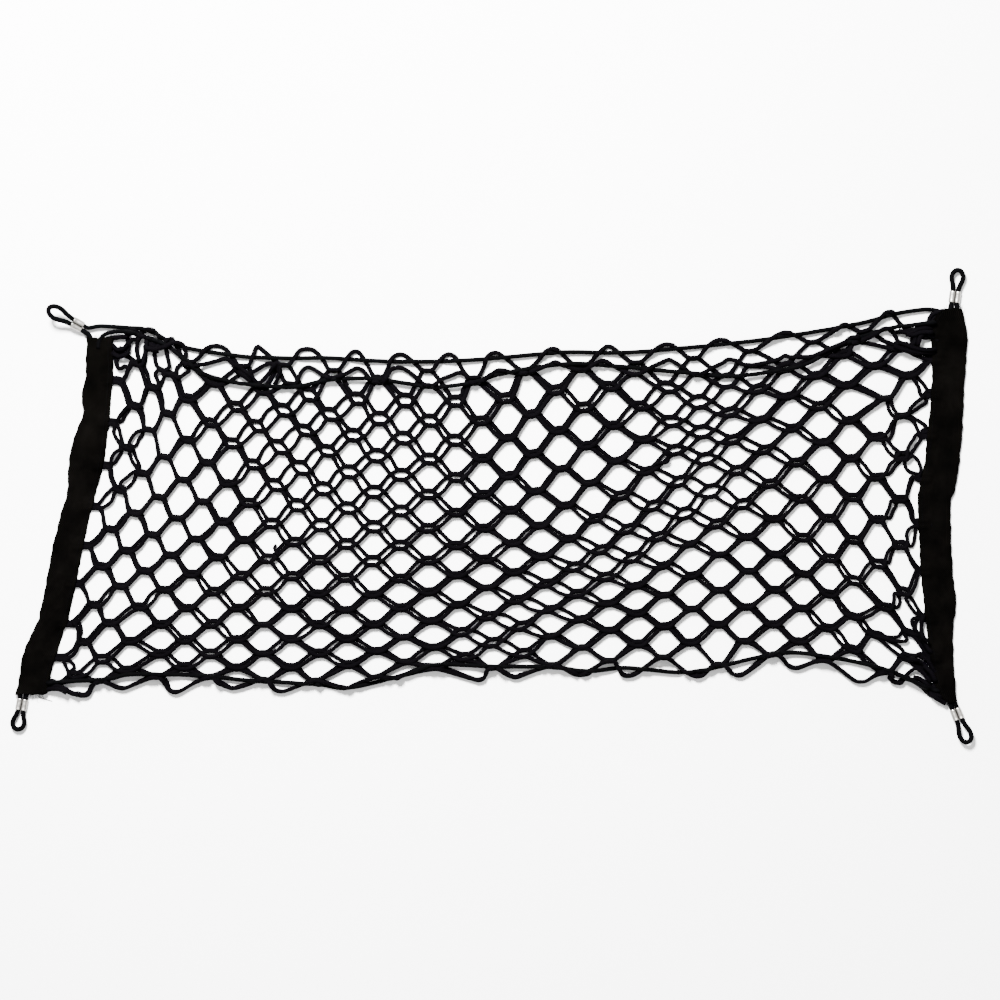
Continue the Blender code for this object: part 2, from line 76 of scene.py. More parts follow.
# x at X_COURSES, y at Y_COURSES
NET_SECTIONS = (
    ((-368, -387, -415, -435), (166, 105, 41, -20, -77, -136, -178)),
    ((-296, -308, -326, -333), (143, 86, 26, -31, -84, -134, -173)),
    ((-203, -216, -226, -228), (130, 78, 21, -35, -86, -133, -175)),
    ((-109, -117, -118, -113), (126, 69, 14, -38, -88, -132, -169)),
    ((-11, -8, -5, 4), (125, 66, 11, -38, -82, -123, -162)),
    ((89, 99, 114, 120), (138, 79, 23, -29, -71, -110, -154)),
    ((204, 214, 228, 225), (137, 88, 47, -2, -49, -101, -153)),
    ((321, 331, 338, 333), (158, 116, 64, 8, -52, -105, -154)),
    ((446, 435, 431, 446), (179, 131, 72, 6, -65, -133, -183)),
)

# ---- how far the back layer lies to the right of the front one, and above it ----
SLIP_COLUMNS = tuple(range(0, 33, 2))
SLIP_COURSES = (1, 3, 5, 7, 9, 11, 13, 15, 17)
# one row for each of SLIP_COURSES
SLIP_RIGHT = (
    (1, 2, 1, -5.5, -2, -3.5, -1, 0, -1.5, 0, -2, -4.5, -4.5, 0, 0, 0, 0),
    (1, 1, -2, -3.5, -5.5, -2, 1, -1, -1.5, 0, 0, -3.5, -2, -2, -1, -2, 1),
    (-3.5, -2, -2, 0, -4.5, -2, 1, 0, 0, 1, 1, 1, -2, 4.5, 0, 3.5, -1),
    (-3.5, -1, 0, 1, -1, 0, -1, 0, 1, 0, 1, 1, 2, 1, 0, 1, 1),
    (-4.5, 0, -1, 0, 2, 1, 0, 0, -1.5, 0, 3, 1, 1, -1, -2, 1, 1),
    (2, 0, -1, 2, 3.5, 0, 1, 0, -1, 3.5, 2, 0, 3.5, -1, 1, -1, -1),
    (-3.5, -1, -1, 3, -1, -1, 1, -1, 2, 5.5, -1, 3, 0.5, 0, 0, 0, -1),
    (-3, -1, 1, 0, -3, -3.5, 1, -1, 3.5, 5, -1, 0, 0, 1, 1, 1, 0),
    (-2, 1, 1, 1, -1, 2, -1, -1, 3.5, 0, 0, 0.5, 0, -1, 1, 0.5, 1),
)
SLIP_UP = (
    (3.5, 2.5, 3.5, 5, 12.5, 12, 12, 12.5, 8.5, 7, 7, 9, 12.5, 11, 6.5, 6, 6),
    (5, 2.5, 6, 9.5, 12.5, 12, 12, 12, 6, 5, 6.5, 6.5, 12, 5, 6, 3.5, 5),
    (3.5, 3.5, 2.5, 5, 12.5, 12, 12, 9.5, 5.5, 5, 4, 5, 11, 5, 7, 3.5, 5.5),
    (5, 5, 3, 5, 8.5, 12, 9.5, 8.5, 6, 4, 5, 8.5, 9.5, 7, 5, 5.5, 5),
    (3.5, 3, 3, 4, 7, 8, 8.5, 6.5, 6, 4, 7, 9.5, 11, 5.5, 5.5, 5, 5),
    (5, 3.5, 3, 5, 7, 6, 7, 5.5, 4, 6, 9.5, 7, 3.5, 5, 6, 6, 5.5),
    (3.5, 4, 5, 6, 5, 5, 5.5, 5, 4, 8, 5, 3.5, 3.5, 3.5, 6, 6, 5),
    (3.5, 5, 5.5, 5.5, 3.5, 5, 5, 3.5, 8.5, 6.5, 3.5, 3.5, 3.5, 4, 5, 3.5, 3.5),
    (5, 6, 5, 5, 3.5, 7, 3.5, 4, 8.5, 4, 3.5, 3.5, 5, 4, 6, 5, 5.5),
)

# ---- where the outermost strands turn, a valley and a crest by turns from column 0: x, y ----
BACK_MOUTH = (
    (-374.5, 154), (-344.5, 176), (-340.5, 160), (-318.5, 167), (-302.5, 144), (-274, 160),
    (-247.5, 139.5), (-233, 159.5), (-207, 140.5), (-183, 157), (-157.5, 135.5), (-135, 154.5),
    (-113, 129), (-92.5, 151.5), (-64, 135), (-41, 151.5), (-18, 128), (2, 153), (33, 136),
    (60.5, 157), (89.5, 139), (116.5, 159.5), (144.5, 143), (174, 161.5), (202, 147.5),
    (227, 166), (258.5, 154.5), (291, 173), (321, 163.5), (350.5, 181), (372.5, 174.5),
    (396, 194), (439.5, 181),
)
FRONT_MOUTH = (
    (-374.5, 149), (-350.5, 169), (-338.5, 156), (-310.5, 162.5), (-301.5, 140), (-265, 147),
    (-247.5, 131), (-219.5, 142), (-200.5, 122), (-183.5, 138.5), (-160, 127.5), (-133, 137.5),
    (-112.5, 123), (-92, 138), (-62.5, 120), (-33, 133), (-16.5, 122.5), (7.5, 135.5), (34.5, 132),
    (62.5, 143.5), (89.5, 135), (112, 145), (143, 131), (176.5, 146), (205, 131), (237, 146.5),
    (260, 140), (292.5, 150), (320.5, 149), (358.5, 168), (364.5, 163), (392, 177), (439.5, 173),
)
# along the bottom, both layers together: a knot and a tip by turns
BOTTOM_TIPS = (
    (-438, -175), (-409, -189), (-390.5, -175), (-367.5, -182), (-334.5, -170), (-315, -185),
    (-281.5, -170), (-258, -182), (-227, -173), (-209.5, -185), (-175.5, -174), (-144.5, -181),
    (-115, -170), (-94.5, -172.5), (-56, -161), (-13.5, -173.5), (1.5, -161), (24.5, -171.5),
    (60.5, -158), (90, -168.5), (117.5, -154), (138, -169), (171.5, -150.5), (203, -169.5),
    (226.5, -157), (248, -169), (280.5, -148), (302.5, -161.5), (332.5, -154), (366.5, -175),
    (393, -165), (402.5, -175.5), (441.5, -180),
)

# half the width of each arch over the back mouth cord, from left to right
ARCHES = (8, 3.5, 8.7, 2.8, 8.1, 4.9, 6.7, 5.8, 6.1, 6.4, 5.5, 7.8, 7.8, 8.7, 4.6, 4.9)

# ---- knots pulled out of line near the corners: (column, course): x, y ----
PULLED_KNOTS = {
    (1, 1): (-353.5, 142), (3, 1): (-320.5, 131.5), (5, 1): (-276.5, 122),
    (2, 2): (-338, 118.5), (4, 2): (-304, 107.5), (1, 3): (-356, 100), (3, 3): (-323, 92),
    (2, 4): (-342.5, 76), (29, 1): (351, 151.5), (31, 1): (409, 158), (30, 2): (383.5, 140),
    (31, 3): (416, 130), (30, 4): (393.5, 108), (2, 14): (-381.5, -116.5),
    (1, 15): (-407, -136), (3, 15): (-360.5, -135.5), (2, 16): (-389, -152.5),
    (1, 17): (-416, -169), (3, 17): (-364, -163.5), (30, 14): (393, -101),
    (31, 13): (412, -85), (31, 15): (417, -125.5), (30, 16): (383.5, -128.5),
    (31, 17): (414.5, -151),
}

# ---- slack strands: (course, column that it leaves): the way that it takes to the next knot ----
BACK_WAYS = {
    (-1, 0): ((-367.5, 156), (-363, 161), (-364, 171), (-358, 175.5)),
    (-1, 1): ((-336, 174), (-331.5, 168), (-333, 162.5)),
    (-1, 31): ((402, 190), (409.5, 181), (418.5, 176), (430.5, 177)),
    (0, 0): ((-367.5, 151), (-361.5, 148.5)),
    (0, 2): ((-336.5, 149), (-333.5, 139)),
    (0, 3): ((-314.5, 130.5), (-314.5, 137), (-310.5, 141.5)),
    (0, 31): ((419.5, 159), (420.5, 167), (422.5, 175), (430.5, 179)),
    (3, 0): ((-369.5, 84.5), (-366, 91), (-362, 96.5)),
    (3, 31): ((425.5, 128), (431.5, 122), (435.5, 115)),
    (4, 0): ((-377.5, 74.5), (-375.5, 69), (-372, 63)),
    (4, 1): ((-355.5, 60), (-352.5, 66), (-348.5, 71.5)),
    (4, 30): ((396, 104), (397, 96), (401.5, 90)),
    (4, 31): ((421.5, 94.5), (428.5, 99.5), (434.5, 104)),
    (5, 0): ((-377, 42.5), (-372.5, 49), (-369.5, 54.5)),
    (5, 1): ((-357.5, 56), (-355, 48), (-351.5, 40)),
    (5, 30): ((396.5, 66.5), (400.5, 72), (402.5, 81)),
    (5, 31): ((422.5, 87.5), (428.5, 84), (434.5, 79)),
    (6, 0): ((-380, 37), (-379, 29), (-376, 22)),
    (6, 1): ((-366, 17), (-360.5, 21), (-356, 28)),
    (6, 30): ((392, 62), (397, 54), (403.5, 49)),
    (6, 31): ((419.5, 53), (424.5, 60), (430.5, 69)),
    (7, 30): ((397.5, 32), (403.5, 40), (409, 46)),
    (7, 31): ((413, 44), (413.5, 39), (417.5, 34.5), (423.5, 32.5)),
    (8, 31): ((416, 13), (418.5, 21), (422, 28)),
    (9, 30): ((398, -12), (401, -5.5), (404.5, 1.5)),
    (9, 31): ((417.5, 3.5), (420.5, -5), (421.5, -14)),
    (10, 31): ((419, -40.5), (422, -35), (423, -28)),
    (11, 30): ((397, -57), (399, -50), (401.5, -43.5)),
    (13, 30): ((405.5, -101.5), (408, -95), (406, -88)),
    (13, 31): ((416.5, -88), (421.5, -95), (425.5, -102)),
    (14, 0): ((-415.5, -114.5), (-411, -118), (-410, -127)),
    (15, 30): ((394.5, -130.5), (405.5, -130.5), (409.5, -126)),
    (16, 0): ((-424.5, -153), (-418.5, -157), (-417, -162)),
    (16, 30): ((397.5, -135), (406.5, -140), (412.5, -146)),
    (17, 31): ((423.5, -156.5), (431, -162), (437.5, -170)),
    (18, 0): ((-431.5, -178.5), (-424.5, -184), (-416.5, -187)),
    (18, 31): ((410.5, -172.5), (422.5, -175.5), (433.5, -181)),
}
FRONT_WAYS = {
    (-1, 0): ((-365.5, 151), (-362, 156), (-361.5, 162), (-357.5, 166.5)),
    (-1, 31): ((401.5, 173), (405.5, 165), (412.5, 159.5), (419.5, 162), (422.5, 169),
        (429.5, 174)),
    (0, 0): ((-374.5, 144.5), (-373, 139), (-370, 137), (-366, 139.5), (-360.5, 137.5)),
    (0, 2): ((-333.5, 159), (-326, 158.5), (-323.5, 149), (-321.5, 139)),
    (0, 3): ((-312.5, 128), (-305.5, 132.5), (-301.5, 136)),
    (0, 31): ((421.5, 158), (424.5, 165), (427.5, 170)),
    (1, 2): ((-332, 120), (-333, 125.5), (-335.5, 131.5), (-332, 135.5), (-327, 134.5)),
    (3, 0): ((-372.5, 87), (-368.5, 93), (-363.5, 98.5)),
    (3, 31): ((421.5, 126), (426, 119), (427.5, 112)),
    (4, 0): ((-372.5, 80), (-370.5, 72), (-368.5, 64)),
    (4, 1): ((-361.5, 62), (-358.5, 69), (-353.5, 74)),
    (4, 30): ((398.5, 106), (400.5, 98), (404.5, 92)),
    (4, 31): ((417.5, 97), (424.5, 104), (431.5, 109)),
    (5, 0): ((-379.5, 47), (-375.5, 53.5)),
    (5, 1): ((-361.5, 54), (-358.5, 45), (-353.5, 38)),
    (5, 30): ((391.5, 70), (396.5, 76), (399.5, 83)),
    (5, 31): ((420.5, 85), (423.5, 80), (425.5, 75)),
    (6, 0): ((-381, 36), (-380, 28), (-377, 21.5)),
    (6, 1): ((-370.5, 22), (-363.5, 29), (-356, 34.5)),
    (6, 30): ((394.5, 66), (400.5, 59), (406.5, 53.5)),
    (6, 31): ((415.5, 58), (420.5, 66), (424.5, 72)),
    (7, 30): ((393.5, 33.5), (397.5, 41.5), (404, 47)),
    (7, 31): ((419.5, 50), (424.5, 47), (427.5, 41), (428.5, 35)),
    (8, 31): ((414.5, 14), (416.5, 22), (419.5, 29)),
    (9, 30): ((394.5, -6.5), (397, -1), (398.5, 5.5)),
    (9, 31): ((414.5, 1), (417.5, -6), (419, -13)),
    (10, 31): ((415, -35), (414, -29), (416, -23.5), (420.5, -20.5)),
    (11, 30): ((393, -52), (395.5, -45.5), (400.5, -40)),
    (13, 30): ((400, -100), (401.5, -93), (401.5, -87)),
    (13, 31): ((413, -92), (417.5, -99.5), (422.5, -106)),
    (14, 0): ((-417, -116.5), (-413, -122), (-412.5, -130)),
    (14, 31): ((427.5, -130), (423.5, -124), (419.5, -118), (420.5, -112)),
    (15, 30): ((396.5, -133.5), (406.5, -135), (414.5, -134)),
    (16, 0): ((-427.5, -155), (-424.5, -160), (-422.5, -165)),
    (16, 31): ((421.5, -150), (428.5, -147)),
    (17, 31): ((420.5, -158), (428.5, -163), (434.5, -171)),
    (18, 0): ((-433.5, -180.5), (-426.5, -183), (-418.5, -187.5)),
    (18, 31): ((412.5, -171), (419.5, -163.5), (425, -162.5), (431.5, -168), (437.5, -176)),
}

# ---- lengths of mesh that are bunched up at the ends: the way that each one lies ----
BUNCHED = (
    # left end, at the top
    ((-350.5, 168), (-353, 163), (-354, 156), (-352.5, 149), (-350, 144)),
    ((-382.5, 163), (-377.5, 160), (-372.5, 156), (-366.5, 157), (-362.5, 161)),
    ((-385.5, 154), (-378.5, 153), (-371.5, 149), (-364.5, 150.5), (-360.5, 154)),
    ((-387.5, 166), (-378.5, 167.5), (-370.5, 168.5), (-364.5, 169), (-360.5, 172)),
    ((-255.5, 141), (-248.5, 136), (-241.5, 131), (-235.5, 125), (-231.5, 120)),
    ((-252.5, 134), (-245.5, 129), (-239.5, 124)),
    ((-214.5, 142), (-222.5, 132), (-228.5, 125), (-234.5, 119)),
    ((-211.5, 140), (-210.5, 134), (-213.5, 127), (-216.5, 121)),
    # left end, at the bottom
    ((-453.5, -181), (-445.5, -179), (-437.5, -179), (-428.5, -180.5), (-420.5, -184.5),
     (-411.5, -188.5)),
    ((-451.5, -183.5), (-443.5, -183), (-435.5, -182), (-428.5, -182.5), (-422.5, -186)),
    # right end, at the top
    ((401.5, 162.5), (408.5, 160.5), (415.5, 156), (422.5, 154), (431.5, 155), (444.5, 155.5)),
    ((404.5, 173.5), (412.5, 174.5), (419.5, 175), (425.5, 171), (432.5, 168), (445.5, 170)),
    ((418.5, 160), (422, 165), (420, 172), (423.5, 177), (432.5, 180), (446.5, 180)),
    ((424.5, 160), (426, 167), (430.5, 171.5), (437.5, 170), (447.5, 165)),
    ((405.5, 175), (411.5, 173), (419.5, 173), (425.5, 176), (433.5, 177), (446.5, 176)),
    ((412.5, 171), (419.5, 170), (426.5, 172.5), (434.5, 173), (446.5, 172.5)),
    ((435.5, 182), (437.5, 188), (441.5, 192), (448.5, 194.5), (456.5, 195)),
    ((437.5, 180), (441.5, 186), (446.5, 190), (455.5, 192)),
    ((400.5, 159.5), (407.5, 156.5), (413.5, 154), (419.5, 153), (426.5, 152.5), (434.5, 153),
     (446.5, 152)),
    ((405.5, 163), (412.5, 160.5), (418.5, 158), (423.5, 156.5), (430.5, 155.5), (442.5, 156)),
    # right end, at the bottom
    ((411.5, -170), (420.5, -174.5), (429.5, -180.5), (437.5, -188), (445.5, -192), (454.5, -195)),
    ((420.5, -170.5), (428.5, -173), (436.5, -180.5), (443.5, -188), (454.5, -192)),
    ((404.5, -168), (414.5, -171), (425.5, -177.5), (434.5, -184), (442.5, -191), (452.5, -197)),
    ((426.5, -131), (432.5, -137), (436.5, -144), (444.5, -150)),
    ((430.5, -109), (429, -114), (428.5, -122), (429, -130), (434.5, -135)),
    ((416.5, -152), (424.5, -154), (431.5, -158), (436.5, -165), (441.5, -174), (448.5, -180)),
    ((426.5, -149), (434.5, -154), (439.5, -161), (444.5, -169), (451.5, -176)),
    ((430.5, -159), (437.5, -166), (441.5, -173), (449.5, -184)),
)
# a small slack loop and a stray end in the open mesh
STRAY_ENDS = (
    ((171.5, 54), (174.5, 51.5), (176.3, 48), (176, 44.5), (173, 42.8), (168.5, 43.3),
     (164, 41.5)),
    ((-212.5, -49), (-214.5, -46), (-216.2, -43.5), (-216.6, -41), (-214.3, -38.8)),
)

# ---- edge cords, seen from above: x, y ----
BACK_CORD = (
    (-391, 179.5), (-377, 179), (-363.5, 178), (-348.5, 177), (-334, 171.5), (-322, 164.5),
    (-303.5, 157.8), (-272, 152.5), (-241.5, 148.8), (-201, 147.6), (-161.5, 147.7),
    (-121.5, 145.2), (-82.5, 144), (-34.5, 145), (8.5, 148), (72.5, 153.5), (128.5, 153),
    (183.5, 157), (258.5, 164.5), (322.5, 174), (370.5, 183), (401.5, 191.5), (425, 195.5),
    (440, 196.2), (452, 193),
)
FRONT_CORD = (
    (-392, 157), (-391, 164), (-386.5, 170.5), (-376, 173.6), (-363.5, 173.4), (-345, 168.5),
    (-324.5, 160.5), (-306, 146), (-287.5, 132.2), (-262, 124.5), (-241.5, 121),
    (-215, 119), (-193.5, 119), (-161.5, 125.8), (-121.5, 127), (-82.5, 122), (-58.5, 118.5),
    (-18.5, 123), (8.5, 131.5), (72.5, 141.5), (128.5, 139), (159.5, 136), (199.5, 132.5),
    (231.5, 129.5), (258.5, 131), (306.5, 139), (330.5, 150.5), (362.5, 166), (393.5, 176.5),
    (425, 181), (440, 182.5), (452, 183.5),
)
BOTTOM_CORD = (
    (-452, -176.8), (-439.5, -176), (-411.5, -174.2), (-380.5, -172), (-356.5, -167.6),
    (-292.5, -169), (-241.5, -174), (-177.5, -177.5), (-145.5, -181.5), (-98.5, -171.5),
    (-58.5, -158.5), (-18.5, -159), (8.5, -160), (56.5, -160.5), (96.5, -164.5),
    (136.5, -161.5), (191.5, -166), (231.5, -159), (258.5, -152.5), (290.5, -146.5),
    (322.5, -148), (370.5, -157), (401.5, -166), (428, -178.5), (441, -183.5), (452, -184.5),
)

# ---- folded webbing bands: y, folded outer edge x, open inner edge x ----
LEFT_BAND = (
    (168, -404.5, -377.5), (154, -404.5, -378), (143, -405.3, -378), (131, -405.5, -378),
    (120, -407.6, -379), (108, -409.7, -380.2), (91, -408.4, -381.3), (72, -416, -383.5),
    (55, -420.5, -385.5), (35, -423.3, -389.3), (16, -423.7, -394.5), (-8, -430.5, -401),
    (-40, -438.4, -407.9), (-73, -444.5, -414.4), (-112, -452.4, -422.5),
    (-134, -462.3, -430), (-150, -469, -435.5), (-169, -471.2, -440.5), (-188, -475.5, -443.4),
)
RIGHT_BAND = (
    (197, 469.5, 452), (193, 470.8, 446), (187, 472.2, 441), (180, 473.6, 438.8),
    (172, 475.3, 438.8), (146, 474.5, 439.8), (123, 472.6, 439.8), (91, 471.2, 437.6),
    (75, 470.4, 435.5),
    (43, 467.4, 432.6), (16, 463.4, 427), (6, 459, 425.8), (-42, 459.5, 427.5),
    (-74, 461.6, 429.5), (-99, 464.4, 432), (-118, 461.5, 434), (-153, 461.5, 438.5),
    (-177, 463, 442), (-187, 463.6, 446.5), (-196, 465, 452.5),
)

# a thread hanging out of the lower left corner
LOOSE_THREAD = (
    (-455.0, -187.0, 3.2), (-452.0, -190.5, 2.6), (-446.5, -192.8, 1.4), (-439.2, -195.2, 0.5),
)

OPEN_HALF_WIDTH = 420  # the cords lie in the open up to here on both sides
EDGE_CORDS = {  # each one's line, and its height in the open and in the bands
    "back": (BACK_CORD, 4.3, 4.1),
    "front": (FRONT_CORD, 6.9, 4.2),
    "bottom": (BOTTOM_CORD, 5.2, 3.9),
}

# ---- corners: crimp centre x, y, z, heading and pitch in degrees, length to the loop's tip ----
CORNERS = {
    "top_left": (-412.5, 180.7, 9.0, 150.0, 20.0, 32.0),
    "top_right": (462.5, 208.65, 3.9, 83.0, 3.0, 27.0),
    "bottom_left": (-468.9, -198.1, 3.9, 260.0, 3.0, 25.0),
    "bottom_right": (464.5, -207.7, 4.6, 290.5, 9.0, 29.5),
}
# From the crimp to the inside of the band: x, y, z. The top left loop's other leg is the back
# mouth cord.
LEGS = {
    "top_left": {"left": ((-401.5, 170.5, 5.0), (-399.5, 164.0, 3.9), (-399.0, 156.0, 3.9))},
    "top_right": {
        "left": ((458.4, 197.0, 3.9), (458.6, 184.0, 3.9)),
        "right": ((465.0, 197.0, 3.9), (464.8, 184.0, 3.9)),
    },
    "bottom_left": {
        "left": ((-464.0, -186.0, 3.9), (-462.5, -175.0, 3.9)),
        "right": ((-470.6, -186.0, 3.9), (-468.0, -175.0, 3.9)),
    },
    "bottom_right": {
        "left": ((461.2, -194.0, 3.9), (460.7, -186.0, 3.9)),
        "right": ((456.8, -194.0, 3.9), (456.2, -186.0, 3.9)),
    },
}
CRIMP_LENGTH = 11.0
CRIMP_RADIUS = 3.1
BARREL_OFFSET = 2.6
BORE_RADIUS = 2.43
LOOP_SWELL, SWELL_START, SWELL_FADE = 0.05, 0.8, 4.0  # a loop is thicker away from the crimp
CRIMP_SIDES = 32  # faces round each barrel
CRIMP_BLEND = 5.0  # how sharply the skins of the two barrels meet
# where a crimp is pressed: how far from its middle at most, and how deep
DENTS = ((3.0, 0.05), (4.0, 0.03))
DENT_LENGTH, DENT_SPREAD = 1.8, 0.25  # how long a dent is, and how much wider it makes the sleeve
BARREL_JOIN = 0.15  # cords that share a barrel end this far from its middle
BACK_CORD_BARREL = (-BARREL_JOIN, -5.6, -11.0)  # the back mouth cord, along its barrel
EDGE_ANGLE = 50  # in degrees: a sharper edge of the metal is shaded as one
# from each end of a crimp, and the share of its full size there
CRIMP_RIM = ((0.0, 0.95), (0.12, 0.985), (0.4, 1.0))
CRIMP_CUTS, CRIMP_CUTS_FROM = 17, 1.0  # how many between the rims, and how far from each end
# share of the way from the crimp to the tip, share of the half width
TEARDROP = ((0.28, 0.62), (0.52, 0.92), (0.70, 1.0), (0.87, 0.80), (0.97, 0.42))

# ---- heights of the layers before they settle, and where the bands hold them ----
LAYERS = {  # each one's mouth, height in the open, height where it is sewn in, slack strands
    "back": (BACK_MOUTH, 2.15, 2.65, BACK_WAYS),
    "front": (FRONT_MOUTH, 4.7, 3.55, FRONT_WAYS),
}
BACK_CORD_START_Z = 5.2  # height of the back mouth cord beside its crimp
STRAND_STEP, CORD_STEP = 2.1, 1.7  # between the points of a middle line
STRAND_SIDES, CORD_SIDES, THREAD_SIDES = 8, 12, 6  # faces round each
# each kind of piece draws its own chances
LAYER_SEED, BAND_SEED, CUT_SEED, FRAY_SEED, CRIMP_SEED = 100, 40, 60, 90, 20
RELAXED, RELAXED_COURSES = 0.18, 4.0  # how much thicker a strand is at the slack mouth
TIP_SLIP = 0.12  # share of the slip that is left along the bottom
KNOT_SLIP, LEG_SLIP = 0.9, 1.15  # shares of the slip at a knot and halfway between knots
KNOT_SWELL = 0.12  # how much thicker a strand is in a knot
KNOT_CLOSE, KNOT_OPEN = 0.12, 2.3  # from a knot's middle to its strands, in widths; at its ends
KNOT_UNREST = 0.45  # how far a knot lies off its place by chance
LEG_UNREST, BAND_UNREST, BAND_COLUMNS = 0.5, 0.7, 2.0  # a leg's chance bend, more near the bands
ARCH, ARCH_UNREST = 6.3, 0.8  # half the width of an arch or tip that no table gives
MOUTH_DROP, TIP_DROP = 2.4, 1.6  # from the top of an arch or tip to its shoulders
TOP_UNREST = 0.1  # how far the top of an arch lies to a side, in half widths
STRAY_SIZE = 0.85  # how thick a stray end is against the strands
STRAND_LUMPS, CORD_LUMPS = (0.035, 6.6), (0.02, 4.0)  # height of a twist's waves, and length
SEWN_FLAT = 0.55  # a strand's height against its width where it is sewn in
HIGHEST = 12.0  # a bunch of strands is no thicker than this
# ranks: what has a higher one lies over what has a lower one
LAYER_RANKS = {"back": 0, "front": 2}
CORD_RANKS = {"back": 1, "front": 3, "bottom": 4}
THREADED = {-1: 0.1, LAST_COURSE - 1: 0.2}  # added for the courses that cords go through
BUNCHED_RANK, RANK_STEP = 2.5, 0.01
HELD_FLAT = 0.99  # a strand flatter than this is held by a band
ROUNDS, FIRM_ROUNDS = 90, 14  # of settling; in the last ones nothing springs back
SPRING, STIFFNESS, SHOVE = 0.05, 0.45, 1.3  # towards its rest, towards its neighbours, apart

# ---- space between the two plies of a folded band ----
PLY_LIFT = 0.12  # under the lower ply
GAP_FOLD, GAP_FLAT, GAP_PINCHED = 2.2, 1.5, 0.3
FOLD_DEPTH, GAP_FADE = 9.0, 7.0  # depth of the fold's own gap, and of the change between gaps
GAP_STRAND = 3.3  # over a strand of the mesh
GAP_END = 4.9  # round the cords, at both ends of the band
BAND_END_LENGTH, BAND_END_FADE = 14.0, 26.0
SEWN_DEPTH = 9.0  # how far the mesh goes into a band
MESH_LIFT = 0.7 * SEWN_DEPTH  # how far in it still lifts the upper ply
SWELL_SLANT = 1.7  # how much the waves of the gap run askew
BAND_GRIP = 1.0  # from a band's open edge to where it holds what lies in it
SEAM_INSET = 4.0  # from the open edge to the row of stitches
STRAND_BULGE = 4.2  # half the length of band that a strand lifts
EDGE_UNREST, GAP_UNREST = 0.35, 0.16  # of a tape's edges and of the space between its plies
EDGE_PULL = 0.7  # how far a strand draws the open edges out
EDGE_ROUND, EDGE_BEVEL = 0.7, 0.55  # a tape's rounded edges, in half thicknesses
# lengths of the chance waves: the fold's, the top edge's, the lower edge's and the gap's
BAND_WAVES = ((11, 17, 31), (8, 13, 24), (9, 15, 28), (14, 23, 41))
CUT_WAVES, CUT_UNREST = (9, 14, 22), 0.5  # of the ends, where the tape is cut
TAPE_STEP = 1.5  # between the cuts across a band
TOP_POINTS, FOLD_POINTS, LOWER_POINTS = 20, 9, 10  # of one cut
STITCH_RADIUS, FRAY_RADIUS, THREAD_RADIUS = 0.24, 0.17, 0.3
STITCHED = 0.93  # the share of a stitch from hole to hole
SEAM_END, SEAM_UNREST = 2.5, 0.12  # from the end of a band to its first stitch; off its line
UNDER_STITCH = 0.13  # height of the seam under the lower ply
# one stitch: the share of its length, and the height over the tape
STITCH = ((0.0, -0.5), (0.12, 0.05), (0.35, 0.2), (0.65, 0.2), (0.88, 0.05), (1, -0.5))
FRAYS, FRAY_REACH = 16, (1.2, 4.2)  # loose ends at each end of a band, and how far they reach


# ---- numbers and curves ----


def smoothstep(t):
    t = min(max(t, 0.0), 1.0)
    return t * t * (3 - 2 * t)


def catmull_weights(places, place):
    """The stations on either side of a place and their weights on a smooth curve."""
    last = len(places) - 1
    start = min(max(int(np.searchsorted(places, place, side="right")) - 1, 0), last - 1)
    t = (place - places[start]) / (places[start + 1] - places[start])
    t = min(max(t, 0.0), 1.0)
    before = 0.5 * (-t + 2 * t * t - t**3)
    near = 0.5 * (2 - 5 * t * t + 3 * t**3)
    far = 0.5 * (t + 4 * t * t - 3 * t**3)
    after = 0.5 * (-t * t + t**3)
    if start == 0:
        near, far, before = near + 2 * before, far - before, 0.0
    if start == last - 1:
        far, near, after = far + 2 * after, near - after, 0.0
    weights = zip((start - 1, start, start + 1, start + 2), (before, near, far, after))
    return [(i, weight) for i, weight in weights if 0 <= i <= last]


def smooth_value(places, values, place):
    return sum(values[i] * w for i, w in catmull_weights(places, place))


def lengths_along(points):
    """How far along a line each of its points lies."""
    steps = np.linalg.norm(np.diff(points, axis=0), axis=1)
    return np.concatenate([[0], np.cumsum(steps)])


def directions(points):
    """The unit vector along a line at each of its points."""
    along = np.gradient(points, axis=0)
    return along / np.linalg.norm(along, axis=1)[:, None]


def smooth_route(points, step, fine=14):
    """The smooth curve through points, read again about step apart."""
    points = np.asarray(points, float)
    padded = np.vstack([2 * points[0] - points[1], points, 2 * points[-1] - points[-2]])
    before, start, end, after = padded[:-3], padded[1:-2], padded[2:-1], padded[3:]
    pieces = []
    for t in np.linspace(0, 1, fine, endpoint=False):
        straight = 2 * start + (end - before) * t
        square = (2 * before - 5 * start + 4 * end - after) * t**2
        cube = (3 * start - before - 3 * end + after) * t**3
        pieces.append(0.5 * (straight + square + cube))
    dense = np.stack(pieces, axis=1).reshape(-1, points.shape[1])
    dense = np.vstack([dense, points[-1]])
    along = lengths_along(dense[:, :3])
    places = np.linspace(0, along[-1], max(round(along[-1] / step), 1) + 1)
    return np.stack([np.interp(places, along, column) for column in dense.T], axis=1)


def net_point(column, course):
    """Where a place in the mesh lies, before either layer's slip: x and y."""
    stations = np.arange(len(NET_SECTIONS)) * COLUMNS / (len(NET_SECTIONS) - 1)
    point = np.zeros(2)
    for i, weight in catmull_weights(stations, column):
        xs, ys = NET_SECTIONS[i]
        point += weight * np.array(
            [smooth_value(X_COURSES, xs, course), smooth_value(Y_COURSES, ys, course)]
        )
    return point


def slip_at(column, course):
    """From the front layer to the back one: right and up."""
    slips = []
    for table in (SLIP_RIGHT, SLIP_UP):
        rows = [smooth_value(SLIP_COLUMNS, row, column) for row in table]
        slips.append(smooth_value(SLIP_COURSES, rows, min(course, SLIP_COURSES[-1])))
    return np.array(slips)


# ---- meshes ----


